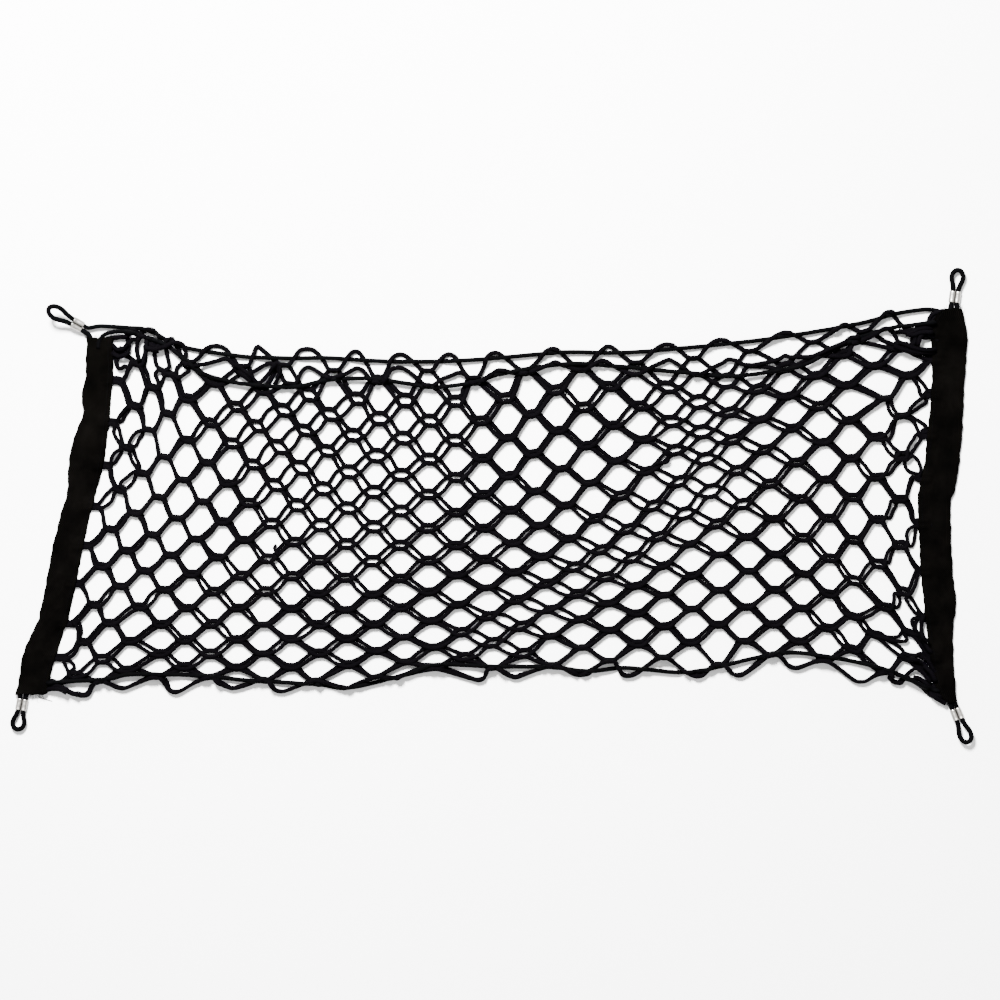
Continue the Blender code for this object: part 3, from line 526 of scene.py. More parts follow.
class TubeMesh:
    """Round strands gathered into one mesh, with each strand's own length and turn as its UV."""

    def __init__(self, sides):
        self.sides = sides
        self.points, self.faces, self.caps, self.uvs, self.count = [], [], [], [], 0

    def add(self, route, radius, flat=None, lumps=0.0, lump_length=1.0, phase=0.0):
        """A strand along route; flat is its height against its width at each place."""
        route = np.asarray(route, float)
        rings, sides = len(route), self.sides
        radius = np.broadcast_to(radius, rings)
        along = directions(route)
        across = np.cross(along, (0, 0, 1.0))
        across /= np.linalg.norm(across, axis=1)[:, None]
        up = np.cross(across, along)
        length = lengths_along(route)
        angles = np.arange(sides) / sides * math.tau
        flat = np.ones(rings) if flat is None else np.asarray(flat)
        wave = 1 + lumps * np.sin(length[:, None] / lump_length * math.tau + 2 * angles + phase)
        size = radius[:, None] * wave
        wide = across[:, None, :] * (np.cos(angles) * size)[:, :, None]
        tall = up[:, None, :] * (np.sin(angles) * size * flat[:, None])[:, :, None]
        self.points.append((route[:, None, :] + wide + tall).reshape(-1, 3))
        ring, side = np.meshgrid(np.arange(rings - 1), np.arange(sides), indexing="ij")
        near = self.count + ring * sides + side
        far = self.count + ring * sides + (side + 1) % sides
        quads = np.stack([near, near + sides, far + sides, far], axis=-1).reshape(-1, 4)
        self.faces.append(quads)
        turn = length / (math.tau * radius.mean())
        u0, u1 = turn[ring], turn[ring + 1]
        v0, v1 = side / sides, (side + 1) / sides
        corners = [(u0, v0), (u1, v0), (u1, v1), (u0, v1)]
        self.uvs.append(np.stack([np.stack(c, axis=-1) for c in corners], axis=2).reshape(-1, 2))
        self.caps.append(self.count + np.arange(sides))
        self.caps.append(self.count + (rings - 1) * sides + np.arange(sides)[::-1])
        self.count += rings * sides

    def build(self, name, material, slot):
        faces = np.concatenate(self.faces).tolist() + [cap.tolist() for cap in self.caps]
        uvs = np.concatenate([*self.uvs, np.zeros((len(self.caps) * self.sides, 2))])
        return build_piece(name, np.concatenate(self.points), faces, "strand", uvs, material)


def grid_quads(rows, size):
    """Quads between rows of points, each row a closed ring of that size."""
    row, k = np.meshgrid(np.arange(rows - 1), np.arange(size), indexing="ij")
    near = row * size + k
    far = row * size + (k + 1) % size
    return np.stack([near, far, far + size, near + size], axis=-1).reshape(-1, 4)


def build_piece(name, points, faces, uv_name, uvs, material):
    """A piece from its points in millimetres, its faces and a UV for each face's corners."""
    mesh = bpy.data.meshes.new(name)
    mesh.from_pydata((points * MM).tolist(), [], faces)
    mesh.uv_layers.new(name=uv_name).data.foreach_set("uv", uvs.ravel())
    mesh.validate()
    mesh.shade_smooth()
    return place_piece(name, mesh, material)


def place_piece(name, mesh, material):
    """Links a mesh as a piece of the net, with its finish, and lets it ride on the part."""
    piece = bpy.data.objects.new(name, mesh)
    bpy.context.scene.collection.objects.link(piece)
    piece.data.materials.append(material)
    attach(piece, ROOT)
    return piece


# ---- finishes ----


NOISE_RANGE = (0.3, 0.7)  # where nearly all of a noise lies


class Finish:
    """A procedural material, built up node by node."""

    def __init__(self, name, roughness, metallic=0.0):
        self.material = bpy.data.materials.new(name)
        self.material.use_nodes = True
        self.tree = self.material.node_tree
        self.shader = self.tree.nodes["Principled BSDF"]
        self.set(Roughness=roughness, Metallic=metallic)

    def set(self, **values):
        for socket, value in values.items():
            self.shader.inputs[socket.replace("_", " ")].default_value = value

    def node(self, kind, inputs=(), **options):
        made = self.tree.nodes.new(kind)
        for option, value in options.items():
            setattr(made, option, value)
        for socket, value in dict(inputs).items():
            self.feed(made.inputs[socket], value)
        return made

    def feed(self, socket, value):
        if isinstance(value, bpy.types.NodeSocket):
            self.tree.links.new(value, socket)
        else:
            socket.default_value = value

    def math(self, operation, *values):
        made = self.node("ShaderNodeMath", operation=operation)
        for socket, value in zip(made.inputs, values):
            self.feed(socket, value)
        return made.outputs[0]

    def noise(self, vector, scale, detail=3.0, rough=0.55):
        made = self.node(
            "ShaderNodeTexNoise",
            {"Vector": vector, "Scale": scale, "Detail": detail, "Roughness": rough},
        )
        return made.outputs["Fac"]

    def ramp(self, factor, low, high, start=0.0, end=1.0):
        """A colour or grey between two ends as factor goes from start to end."""
        made = self.node("ShaderNodeValToRGB", {"Fac": factor})
        for stop, place, value in zip(made.color_ramp.elements, (start, end), (low, high)):
            stop.position = place
            stop.color = (*value, 1.0) if isinstance(value, (tuple, list)) else (value,) * 3 + (1,)
        return made.outputs["Color"]

    def blend(self, first, share, second, other_share):
        return self.math("MULTIPLY_ADD", first, share, self.math("MULTIPLY", second, other_share))

    def shades(self, factor, colour, dark, light, start=0.0, end=1.0):
        """Colours it from one share of a colour to another as factor goes from start to end."""
        low, high = (tuple(part * share for part in colour) for share in (dark, light))
        self.feed(self.shader.inputs["Base Color"], self.ramp(factor, low, high, start, end))

    def roughness(self, noise, low, high):
        self.feed(self.shader.inputs["Roughness"], self.ramp(noise, low, high, *NOISE_RANGE))

    def bump(self, height, strength, distance, below=None):
        made = self.node(
            "ShaderNodeBump", {"Height": height, "Strength": strength, "Distance": distance}
        )
        if below is not None:
            self.feed(made.inputs["Normal"], below)
        self.feed(self.shader.inputs["Normal"], made.outputs["Normal"])
        return made.outputs["Normal"]

    def uv(self):
        made = self.node("ShaderNodeUVMap")
        split = self.node("ShaderNodeSeparateXYZ", {"Vector": made.outputs["UV"]})
        return split.outputs["X"], split.outputs["Y"]

    def place(self):
        return self.node("ShaderNodeTexCoord").outputs["Object"]


def braid_height(finish, starts, pitch):
    """Yarns wound both ways round a cord: how many, and the pitch of one in girths."""
    along, around = finish.uv()
    run = finish.math("MULTIPLY", along, math.pi * starts / pitch)
    turn = finish.math("MULTIPLY", around, math.pi * starts)
    both_ways = [
        finish.math("ABSOLUTE", finish.math("SINE", finish.math(way, run, turn)))
        for way in ("ADD", "SUBTRACT")
    ]
    return finish.math("MAXIMUM", *both_ways)


# the finish's name, its yarns, their pitch in girths, its roughness and its sheen
YARNS = {
    "mesh": ("knitted_mesh_yarn", 6, 1.6, 0.72, 0.0004),
    "cord": ("braided_cord_sleeve", 8, 1.2, 0.55, 0.0004),
    "thread": ("sewing_thread", 2, 1.0, 0.5, 0.001),
}


def strand_finish(colour, name, starts, pitch, roughness, sheen):
    """Knitted or braided yarn, near black, with a dull fuzz and painted shade between its yarns.
    """
    finish = Finish(name, roughness)
    finish.set(Sheen_Weight=sheen, Sheen_Roughness=0.55, Specular_IOR_Level=0.003)
    yarns = braid_height(finish, starts, pitch)
    place = finish.place()
    fuzz = finish.noise(place, scale=2600.0, detail=2.0)
    patches = finish.noise(place, scale=26.0, detail=4.0)
    # painted shade: darker in the grooves between the yarns and lighter on their crowns, mixed
    # with random patches of tone
    patches_and_painted_relief_shading = finish.blend(patches, 0.55, yarns, 0.45)
    finish.shades(patches_and_painted_relief_shading, colour, dark=0.45, light=1.55, start=0.3, end=0.85)
    finish.roughness(fuzz, roughness - 0.1, roughness + 0.12)
    fuzzy = finish.bump(fuzz, strength=0.25, distance=0.0002)
    finish.bump(yarns, strength=0.6, distance=0.0005, below=fuzzy)
    return finish.material


def webbing_finish(name, colour):
    """Plain woven tape: ribs both ways, painted highlight on high places, painted shade between.
    """
    finish = Finish(name, 0.82)
    finish.set(Sheen_Weight=0.0002, Sheen_Roughness=0.5, Specular_IOR_Level=0.0015)
    across, along = finish.uv()
    warp, weft = (
        finish.math("SINE", finish.math("MULTIPLY", way, math.pi / rib))
        for way, rib in ((across, 0.0010), (along, 0.0009))
    )
    weave = finish.math("MULTIPLY", warp, weft)
    place = finish.place()
    fuzz = finish.noise(place, scale=3000.0, detail=2.0)
    patches = finish.noise(place, scale=34.0, detail=5.0, rough=0.65)
    height = finish.blend(weave, 0.5, fuzz, 0.5)
    # painted highlight on the high places of the weave and painted shade in its dips, mixed with
    # random patches of tone
    patches_and_painted_relief_shading = finish.blend(height, 0.6, patches, 0.6)
    finish.shades(patches_and_painted_relief_shading, colour, dark=0.05, light=4.5, start=0.35, end=0.8)
    finish.roughness(patches, 0.74, 0.92)
    finish.bump(height, strength=0.55, distance=0.0004)
    return finish.material


def crimp_finish(name, colour):
    """Pressed metal: painted shade in the seam and round the sides, scratched along its top."""
    finish = Finish(name, 0.3, metallic=1.0)
    across, _ = finish.uv()
    place = finish.place()
    scratches = finish.noise(place, scale=900.0, detail=4.0, rough=0.7)
    patches = finish.noise(place, scale=320.0)
    from_ridge = finish.math("ABSOLUTE", finish.math("SUBTRACT", across, 0.5))
    # painted shading: lightest along the top of each barrel, painted darker towards the seam and
    # the sides, with random patches
    patchy_painted_barrel_shading = finish.math("MULTIPLY_ADD", patches, 0.16, from_ridge)
    finish.shades(patchy_painted_barrel_shading, colour, 1.1, 0.16, start=0.2, end=0.56)
    finish.roughness(patches, 0.38, 0.22)
    finish.bump(scratches, strength=0.15, distance=0.0002)
    return finish.material


def floor_finish(name, colour):
    """Plain and dull, very slightly uneven."""
    finish = Finish(name, 0.9)
    finish.set(Specular_IOR_Level=0.1)
    finish.shades(finish.noise(finish.place(), scale=3.0), colour, dark=0.985, light=1.0)
    return finish.material


# ---- settings ----


def length_setting(name, description, default, least, most):
    """A setting that is a length: its default and limits are given in millimetres."""
    return FloatProperty(
        name=name, description=description, default=default * MM, min=least * MM, max=most * MM,
        precision=4, unit="LENGTH",
    )


def colour_setting(name, description, default):
    """A setting that is a colour, opaque."""
    return FloatVectorProperty(
        name=name, description=description, default=default, subtype="COLOR", size=3, min=0, max=1
    )


class CARGONET_PG_sizes(bpy.types.PropertyGroup):
    strand: length_setting("Mesh strand", "Diameter of the yarn of the mesh", 3.9, 1, 6)
    knot: length_setting("Knot", "Length over which two strands run side by side", 10.5, 4, 16)
    cord: length_setting("Elastic cord", "Diameter of the edge cords", 4.4, 2, 6)
    tape: length_setting("Tape", "Thickness of the webbing", 1.35, 0.5, 3)
    loop: length_setting("Loop cord", "Diameter of the cord of the corner loops", 4.8, 2, 4.8)
    loop_width: length_setting("Loop width", "From side to side of a loop", 11.5, 6, 20)
    stitch: length_setting("Stitch", "Length of one stitch along a band", 3.4, 2, 8)
    seed: IntProperty(
        name="Lie", description="Chooses the small chance bends of the mesh", default=7, min=0
    )


class CARGONET_PG_colours(bpy.types.PropertyGroup):
    mesh: colour_setting("Mesh", "Colour of the mesh strands", (0.0006, 0.0005, 0.0007))
    cord: colour_setting("Cord", "Colour of the elastic cord", (0.0005, 0.0005, 0.0006))
    webbing: colour_setting("Webbing", "Colour of the side bands", (0.0004, 0.00035, 0.0003))
    crimp: colour_setting("Crimp", "Colour of the metal crimps", (0.46, 0.44, 0.41))
    floor: colour_setting("Floor", "Colour of the plain floor", (0.9, 0.9, 0.9))


class CARGONET_PG_stage(bpy.types.PropertyGroup):
    camera_height: FloatProperty(
        name="Camera height", description="Height of the camera above the floor",
        default=2.2, min=1.0, max=6.0, unit="LENGTH",
    )
    view_width: FloatProperty(
        name="View width", description="Width of floor that the picture takes in",
        default=1.0, min=0.5, max=3.0, unit="LENGTH",
    )
    key_power: FloatProperty(
        name="Key light", description="Power of the large lamp beyond the mouth of the net",
        default=640.0, min=0.0, max=2000.0, unit="POWER",
    )
    fill: FloatProperty(
        name="Fill", description="Strength of the light from all round", default=1.3, min=0.0,
        max=3.0,
    )


def sizes():
    return bpy.context.scene.cargonet_sizes


def colours():
    return bpy.context.scene.cargonet_colours


# ---- the mesh layers ----


class Layer:
    """One of the two layers of mesh: where its knots lie, and its strands' middle lines."""

    def __init__(self, word):
        self.is_front = word == "front"
        self.mouth, self.rest, self.sewn, self.ways = LAYERS[word]
        draw = random.Random(sizes().seed + LAYER_SEED * self.is_front)
        self.bends = {
            (column, course): [draw.gauss(0, 1) for _ in range(4)]
            for column in range(COLUMNS + 1)
            for course in range(-1, LAST_COURSE + 1)
        }

    @staticmethod
    def row(column, course):
        """The row of knots that the strand from a course to the next touches at a column."""
        return course if (column + course) % 2 == 0 else course + 1

    def slipped(self, slip):
        """This layer's half of a slip between the two layers."""
        return slip * (-0.5 if self.is_front else 0.5)

    def knot(self, column, course):
        """The middle of the knot at a column and course: x and y."""
        if course <= 0:
            return np.array(self.mouth[column], float)
        if course >= LAST_COURSE - 1:
            point = np.array(BOTTOM_TIPS[column], float)
        elif (column, course) in PULLED_KNOTS:
            point = np.array(PULLED_KNOTS[column, course], float)
        else:
            point = net_point(column, course)
        share = TIP_SLIP if course >= LAST_COURSE - 1 else KNOT_SLIP
        point += self.slipped(slip_at(column, course) * share)
        if 0 < column < COLUMNS:
            point += KNOT_UNREST * np.array(self.bends[column, course][:2])
        return point

    def direction(self, column, row):
        """Unit vectors along a row and across it, at a column."""
        if row <= 0 or row >= LAST_COURSE - 1:
            ahead = self.knot(min(column + 1, COLUMNS), row)
            behind = self.knot(max(column - 1, 0), row)
        else:
            ahead = net_point(min(column + 0.5, COLUMNS), row)
            behind = net_point(max(column - 0.5, 0), row)
        along = (ahead - behind) / np.linalg.norm(ahead - behind)
        return along, np.array([-along[1], along[0]])

    def turn(self, column, course):
        """The points where a strand turns at a knot, crest or tip: three, or two in a band."""
        row = self.row(column, course)
        along, across = self.direction(column, row)
        middle = self.knot(column, row)
        chance = self.bends[column, row]
        way = -1 if row == course else 1
        if row in (-1, LAST_COURSE):
            measured = row == -1 and not self.is_front
            span = ARCHES[column // 2] if measured else ARCH + ARCH_UNREST * chance[2]
            drop = (MOUTH_DROP if row == -1 else TIP_DROP) * way
            shares = ((-1, drop), (TOP_UNREST * chance[3], 0.0), (1, drop))
        else:
            span = sizes().knot / MM / 2
            inside = sizes().strand / MM * KNOT_CLOSE * way
            shares = ((-1, inside * KNOT_OPEN), (0, inside), (1, inside * KNOT_OPEN))
        return [
            middle + along * span * share + across * side
            for share, side in shares
            if not (column == 0 and share < 0 or column == COLUMNS and share > 0)
        ]

    def strand(self, course):
        """A strand's middle line from band to band between a course and the next.

        Each point has x, y, z, flatness, lean and knot. Lean is above 0 where an edge cord goes
        under it, and knot is 1 in a knot."""
        points = []
        for column in range(COLUMNS + 1):
            out = float(0 < column < COLUMNS)
            z = self.sewn + (self.rest - self.sewn) * out
            flat = SEWN_FLAT + (1 - SEWN_FLAT) * out
            turn = self.turn(column, course)
            knot = out if 0 < self.row(column, course) < LAST_COURSE else 0.0
            points += [(*place, z, flat, 0.0, knot) for place in turn]
            if column == COLUMNS:
                break
            lean = 1.0 if column % 2 == 0 else -1.0
            way = self.ways.get((course, column))
            if way is None:
                start, end = turn[-1], self.turn(column + 1, course)[0]
                leg = end - start
                across = np.array([-leg[1], leg[0]]) / max(np.linalg.norm(leg), 1e-6)
                from_band = min(column, COLUMNS - 1 - column)
                unrest = LEG_UNREST + BAND_UNREST * math.exp(-from_band / BAND_COLUMNS)
                way = [(start + end) / 2 + across * unrest * self.bends[column, course][3]]
                if 0 < course < LAST_COURSE - 2:
                    slip = slip_at(column + 0.5, course + 0.5)
                    way[0] += self.slipped(slip * (LEG_SLIP - KNOT_SLIP))
            points += [(*place, self.rest, 1.0, lean, 0.0) for place in way]
        first, last = points[0], points[-1]
        sewn = (self.sewn, SEWN_FLAT, 0.0, 0.0)
        points.insert(0, (first[0] - SEWN_DEPTH, first[1], *sewn))
        points.append((last[0] + SEWN_DEPTH, last[1], *sewn))
        return smooth_route(points, STRAND_STEP, fine=8)


# ---- how it all settles ----


class Pile:
    """Strands and cords lying on each other, each with a radius and a rank: higher lies over."""

    def __init__(self):
        self.routes, self.points = [], []

    def add(self, route, radius, rank, lean, free):
        """Adds a line; free is 1 where it may move up and down, and 0 where it is held."""
        self.routes.append(route)
        numbers = np.broadcast_arrays(radius, rank, lean, free, route[:, 2])
        self.points.append(np.column_stack([route[:, :3], *numbers]))

    def touching(self, xy, radii, ranks):
        """Pairs of points of different ranks, close enough seen from above to touch."""
        tree = KDTree(len(xy))
        for i, (x, y) in enumerate(xy):
            tree.insert((x, y, 0.0), i)
        tree.balance()
        reach = 2 * float(radii.max())
        pairs = [
            (i, j)
            for i, (x, y) in enumerate(xy)
            for _, j, _ in tree.find_range((x, y, 0.0), reach)
            if ranks[j] > ranks[i]
        ]
        return np.array(pairs).T

    def settle(self, threads):
        """Moves every point up or down until nothing lies in anything else.

        threads pairs the rank of each threaded strand with its cord's rank."""
        points = np.vstack(self.points)
        xy, z = points[:, :2], points[:, 2].copy()
        radii, ranks, leans, free, rest = points[:, 3:].T.copy()
        low, high = self.touching(xy, radii, ranks)
        apart = np.linalg.norm(xy[low] - xy[high], axis=1)
        close = apart < radii[low] + radii[high]
        low, high, apart = low[close], high[close], apart[close]
        need = np.sqrt((radii[low] + radii[high]) ** 2 - apart**2)
        sign = np.ones(len(low))
        for strand_rank, cord_rank in threads:
            for strand, cord, way in ((low, high, -1.0), (high, low, 1.0)):
                threaded = (ranks[strand] == strand_rank) & (ranks[cord] == cord_rank)
                sign[threaded] = np.where(leans[strand][threaded] > 0, way, -way)
        ends = np.cumsum([len(route) for route in self.routes])
        starts = np.concatenate([[0], ends[:-1]])
        inner = np.setdiff1d(np.arange(len(z)), np.concatenate([starts, ends - 1]))
        for turn in range(ROUNDS):
            if turn < ROUNDS - FIRM_ROUNDS:
                z += SPRING * (rest - z) * free
                bend = 0.5 * (z[inner - 1] + z[inner + 1]) - z[inner]
                z[inner] += STIFFNESS * bend * free[inner]
            lack = need - sign * (z[high] - z[low])
            short = lack > 0
            push = 0.5 * lack[short] * sign[short]
            total, number = np.zeros(len(z)), np.zeros(len(z))
            np.add.at(total, high[short], push)
            np.add.at(total, low[short], -push)
            np.add.at(number, high[short], 1)
            np.add.at(number, low[short], 1)
            z += SHOVE * total / np.maximum(number, 1) * free
            z = np.clip(z, np.where(free > 0, radii, 0), HIGHEST)
        for route, start, end in zip(self.routes, starts, ends):
            route[:, 2] = z[start:end]


# ---- cords and loops ----


def thickness(course):
    """The radius of the strand that runs from a course to the next."""
    slack = math.exp(-max(course, 0) / RELAXED_COURSES)
    return sizes().strand / MM / 2 * (1 + RELAXED * slack)


def make_cord(name, route, radius, node):
    """A cord as a piece that takes the place of one of the model's."""
    tubes = TubeMesh(CORD_SIDES)
    tubes.add(route, radius, None, *CORD_LUMPS)
    piece = tubes.build(name, FINISHES["cord"], "cord")
    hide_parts(node)
    return piece


def in_the_open(route):
    """1 where a strand or cord lies between the bands, 0 in a band or beyond it."""
    left, right = (np.array(band[::-1], float).T for band in (LEFT_BAND, RIGHT_BAND))
    x, y = route[:, 0], route[:, 1]
    past_left = x > np.interp(y, left[0], left[2]) - BAND_GRIP
    past_right = x < np.interp(y, right[0], right[2]) + BAND_GRIP
    return (past_left & past_right).astype(float)


def bunched_strand(points):
    """A bunched-up length of mesh: x, y, z and flatness at each place."""
    _, rest, sewn, _ = LAYERS["front"]
    route = smooth_route([(*point, rest, 1.0) for point in points], STRAND_STEP, fine=8)
    route[in_the_open(route) == 0, 2:] = sewn, SEWN_FLAT
    return route


def corner_frame(corner):
    """From a crimp's own frame, +X towards its loop and +Y to the left, to the net's."""
    x, y, z, heading, pitch, _ = CORNERS[corner]
    turn = Matrix.Rotation(math.radians(heading), 4, "Z")
    tilt = Matrix.Rotation(-math.radians(pitch), 4, "Y")
    return Matrix.Translation((x, y, z)) @ turn @ tilt


def in_crimp(corner, along, side):
    """A place on the axis of one of a crimp's barrels."""
    return tuple(corner_frame(corner) @ Vector((along, side * BARREL_OFFSET, 0)))


def leg_route(corner, side):
    """From the band to the loop's end of the crimp, along one barrel."""
    word = "left" if side > 0 else "right"
    inside = [in_crimp(corner, BARREL_JOIN, side), in_crimp(corner, CRIMP_LENGTH / 2, side)]
    if word not in LEGS[corner]:
        return inside
    tail = in_crimp(corner, -CRIMP_LENGTH / 2 - 0.5, side)
    return [*reversed(LEGS[corner][word]), tail, *inside]


def loop_route(corner):
    """The middle line of a corner loop, with both its legs."""
    frame_at = corner_frame(corner)
    length = CORNERS[corner][5]
    half = sizes().loop_width / MM / 2
    mouth = CRIMP_LENGTH / 2
    side = [(mouth + (length - mouth) * u, half * v) for u, v in TEARDROP]
    round_loop = [frame_at @ Vector((u, v, 0)) for u, v in side]
    round_loop.append(frame_at @ Vector((length, 0, 0)))
    round_loop += [frame_at @ Vector((u, -v, 0)) for u, v in reversed(side)]
    points = leg_route(corner, 1) + round_loop + leg_route(corner, -1)[::-1]
    return [tuple(p) for p in points]


# ---- bands ----


def unit_waves(seed, lengths):
    """A smooth chance wave along a band, about 1 high: a function of the place in mm."""
    draw = random.Random(seed)
    waves = [(math.tau / length, draw.uniform(0, math.tau)) for length in lengths]
    return lambda place: sum(np.sin(place * k + turn) for k, turn in waves) / len(waves) ** 0.5


class Band:
    """A tape folded lengthwise over the ends of both mesh layers, and its stitches."""

    def __init__(self, word, stations, column):
        self.word, self.column = word, column
        ordered = np.array(stations[::-1], float)
        self.ys, self.outer, self.inner = ordered.T
        self.way = 1.0 if column == 0 else -1.0
        self.thick = sizes().tape / MM
        seeds = enumerate(BAND_WAVES, BAND_SEED + column)
        waves = [unit_waves(seed, lengths) for seed, lengths in seeds]
        self.fold_wave, self.top_edge_wave, self.under_edge_wave, self.swell = waves
        layers = (Layer("back"), Layer("front"))
        self.strands = [
            layer.knot(column, course)[1]
            for layer in layers
            for course in range(0, LAST_COURSE, 2)
        ]

    def end_share(self, y):
        """1 at the ends of the band, where the cords lie in it, and 0 in its middle."""
        from_end = min(y - self.ys[0], self.ys[-1] - y)
        return 1 - smoothstep((from_end - BAND_END_LENGTH) / BAND_END_FADE)

    def strand_share(self, y):
        """1 where a strand of the mesh goes into the band, and 0 well away from all."""
        return max(math.exp(-(((y - place) / STRAND_BULGE) ** 2)) for place in self.strands)

    def gap(self, y, inset, width):
        """Between the plies, inset from the open edge."""
        strand = GAP_PINCHED + (GAP_STRAND - GAP_PINCHED) * self.strand_share(y)
        past_mesh = smoothstep((inset - MESH_LIFT) / GAP_FADE)
        sewn = strand + (GAP_FLAT - strand) * past_mesh
        near_fold = smoothstep((inset - width + FOLD_DEPTH) / GAP_FADE)
        folded = sewn + (GAP_FOLD - sewn) * near_fold
        soft = folded + GAP_UNREST * self.swell(y + SWELL_SLANT * inset)
        end = self.end_share(y)
        return soft + (GAP_END - soft) * end

    def edges(self, y):
        """The x of the fold and of the open edge."""
        outer = smooth_value(self.ys, self.outer, y) + EDGE_UNREST * self.fold_wave(y)
        return outer, smooth_value(self.ys, self.inner, y)

    def path(self, y):
        """The tape's middle cut across at y, from the top ply's open edge round to the lower's."""
        outer, inner = self.edges(y)
        width = abs(inner - outer)
        half = self.thick / 2
        low = PLY_LIFT + half
        pulled = EDGE_PULL * self.strand_share(y)
        top_edge = half - EDGE_UNREST * self.top_edge_wave(y) - pulled
        under_edge = half - EDGE_UNREST * self.under_edge_wave(y) - pulled
        radius = (self.gap(y, width, width) + self.thick) / 2
        turn = width - radius - half
        points = []
        for inset in np.linspace(top_edge, turn, TOP_POINTS):
            points.append((inset, low + self.thick + self.gap(y, max(inset, 0), width)))
        for angle in np.linspace(90, -90, FOLD_POINTS + 2)[1:-1]:
            a = math.radians(angle)
            points.append((turn + radius * math.cos(a), low + radius + radius * math.sin(a)))
        points += [(inset, low) for inset in np.linspace(turn, under_edge, LOWER_POINTS)]
        return [(inner - self.way * inset, z) for inset, z in points]

    def ring(self, y):
        """Both faces of the tape cut across at y, with rounded edges, and their width places."""
        path = np.array(self.path(y))
        along = directions(path)
        side = np.stack([-along[:, 1], along[:, 0]], axis=1) * self.way * self.thick / 2
        width = lengths_along(path)
        last = path[-1] + along[-1] * self.thick / 2 * EDGE_ROUND
        first = path[0] - along[0] * self.thick / 2 * EDGE_ROUND
        ring = np.vstack([
            path + side, [last + side[-1] * EDGE_BEVEL, last - side[-1] * EDGE_BEVEL],
            (path - side)[::-1], [first - side[0] * EDGE_BEVEL, first + side[0] * EDGE_BEVEL],
        ])
        places = np.concatenate([width, [width[-1]] * 2, width[::-1], [0, 0]])
        return ring, places

    def top_point(self, y, inset, above):
        """A place on the band's upper face, that far in from the open edge."""
        outer, inner = self.edges(y)
        z = PLY_LIFT + 2 * self.thick + self.gap(y, inset, abs(inner - outer)) + above
        return inner - self.way * inset, y, z

    def build_tape(self):
        """The folded tape: its cuts joined up, with a closed face at both ends."""
        count = round((self.ys[-1] - self.ys[0]) / TAPE_STEP)
        places = np.linspace(self.ys[0], self.ys[-1], count + 1)
        cut = unit_waves(CUT_SEED + self.column, CUT_WAVES)
        points, uvs = [], []
        for y in places:
            ring, across = self.ring(y)
            unrest = CUT_UNREST if y in (places[0], places[-1]) else 0.0
            lengths = y + unrest * cut(across)
            points.append(np.column_stack([ring[:, 0], lengths, ring[:, 1]]))
            uvs.append(np.column_stack([across, lengths]))
        size = len(points[0])
        faces = [grid_quads(len(places), size)]
        face_count = size // 2 - 2
        for start, turned in ((0, False), ((len(places) - 1) * size, True)):
            near = start + np.arange(face_count)
            back = start + size - 3 - np.arange(face_count)
            strip = np.stack([near, back, back - 1, near + 1], axis=-1)
            strip = np.vstack([strip, start + np.array([(0, size - 1, size - 2, size - 3)])])
            faces.append(strip[:, ::-1] if turned else strip)
        faces = np.vstack(faces)
        if self.way > 0:
            faces = faces[:, ::-1]
        name, corners = f"side_tape_{self.word}", faces.ravel()
        tape = build_piece(
            name, np.vstack(points), faces.tolist(), "tape", (np.vstack(uvs) * MM)[corners],
            FINISHES["webbing"],
        )
        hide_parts(f"side_band_{self.word}")
        return tape

    def stitch_row(self, tubes, inset, radius):
        """One row of lock stitches along the open edge, from hole to hole on both faces."""
        step = sizes().stitch / MM
        places = np.arange(self.ys[0] + SEAM_END, self.ys[-1] - SEAM_END, step)
        for i, start in enumerate(places[:-1]):
            end = start + step * STITCHED
            off_line = inset + SEAM_UNREST * math.sin(9.0 * i)
            over, under = [], []
            for share, rise in STITCH:
                x, y, z = self.top_point(start + (end - start) * share, off_line, rise)
                over.append((x, y, z))
                under.append((x, y, UNDER_STITCH - min(rise, 0.1)))
            tubes.add(over, radius)
            tubes.add(under, radius)

    def frays(self, tubes):
        """Loose ends of the weft where the tape was cut."""
        draw = random.Random(FRAY_SEED + self.column)
        for y, out in ((self.ys[0], -1), (self.ys[-1], 1)):
            outer, inner = self.edges(y)
            for _ in range(FRAYS):
                share = draw.random()
                x = outer + (inner - outer) * share
                low = draw.random() < 0.5
                z = PLY_LIFT + self.thick * (0.5 if low else 1.5) + (0 if low else GAP_END)
                reach = draw.uniform(*FRAY_REACH)
                lean = draw.gauss(0, 0.9)
                route = [
                    (x, y - out * 0.8, z),
                    (x + 0.2 * lean, y + out * reach * 0.4, z),
                    (x + 0.7 * lean, y + out * reach * 0.75, z - 0.3 * draw.random()),
                    (x + 1.4 * lean, y + out * reach, z - 0.8 * draw.random()),
                ]
                tubes.add(smooth_route(route, 0.5), FRAY_RADIUS)
        if self.column == 0:
            tubes.add(smooth_route(LOOSE_THREAD, 0.7), THREAD_RADIUS)

    def build(self):
        tape = self.build_tape()
        tubes = TubeMesh(THREAD_SIDES)
        self.stitch_row(tubes, SEAM_INSET, STITCH_RADIUS)
        self.frays(tubes)
        threads = tubes.build(f"side_threads_{self.word}", FINISHES["thread"], "webbing")


# ---- crimps ----


def crimp_reach(angle):
    """From a barrel's axis out to the skin of the pair, in the half that holds it."""
    across, up = math.cos(angle), math.sin(angle)
    near, far = 0.0, 2 * CRIMP_RADIUS
    while far - near > 1e-4:
        reach = (near + far) / 2
        y, z = BARREL_OFFSET + reach * across, reach * up
        to_skin = [math.hypot(y - side * BARREL_OFFSET, z) - CRIMP_RADIUS for side in (-1, 1)]
        blended = -math.log(sum(math.exp(-CRIMP_BLEND * d) for d in to_skin)) / CRIMP_BLEND
        near, far = (reach, far) if blended < 0 else (near, reach)
    return min(near, BARREL_OFFSET / -across) if across < 0 else near


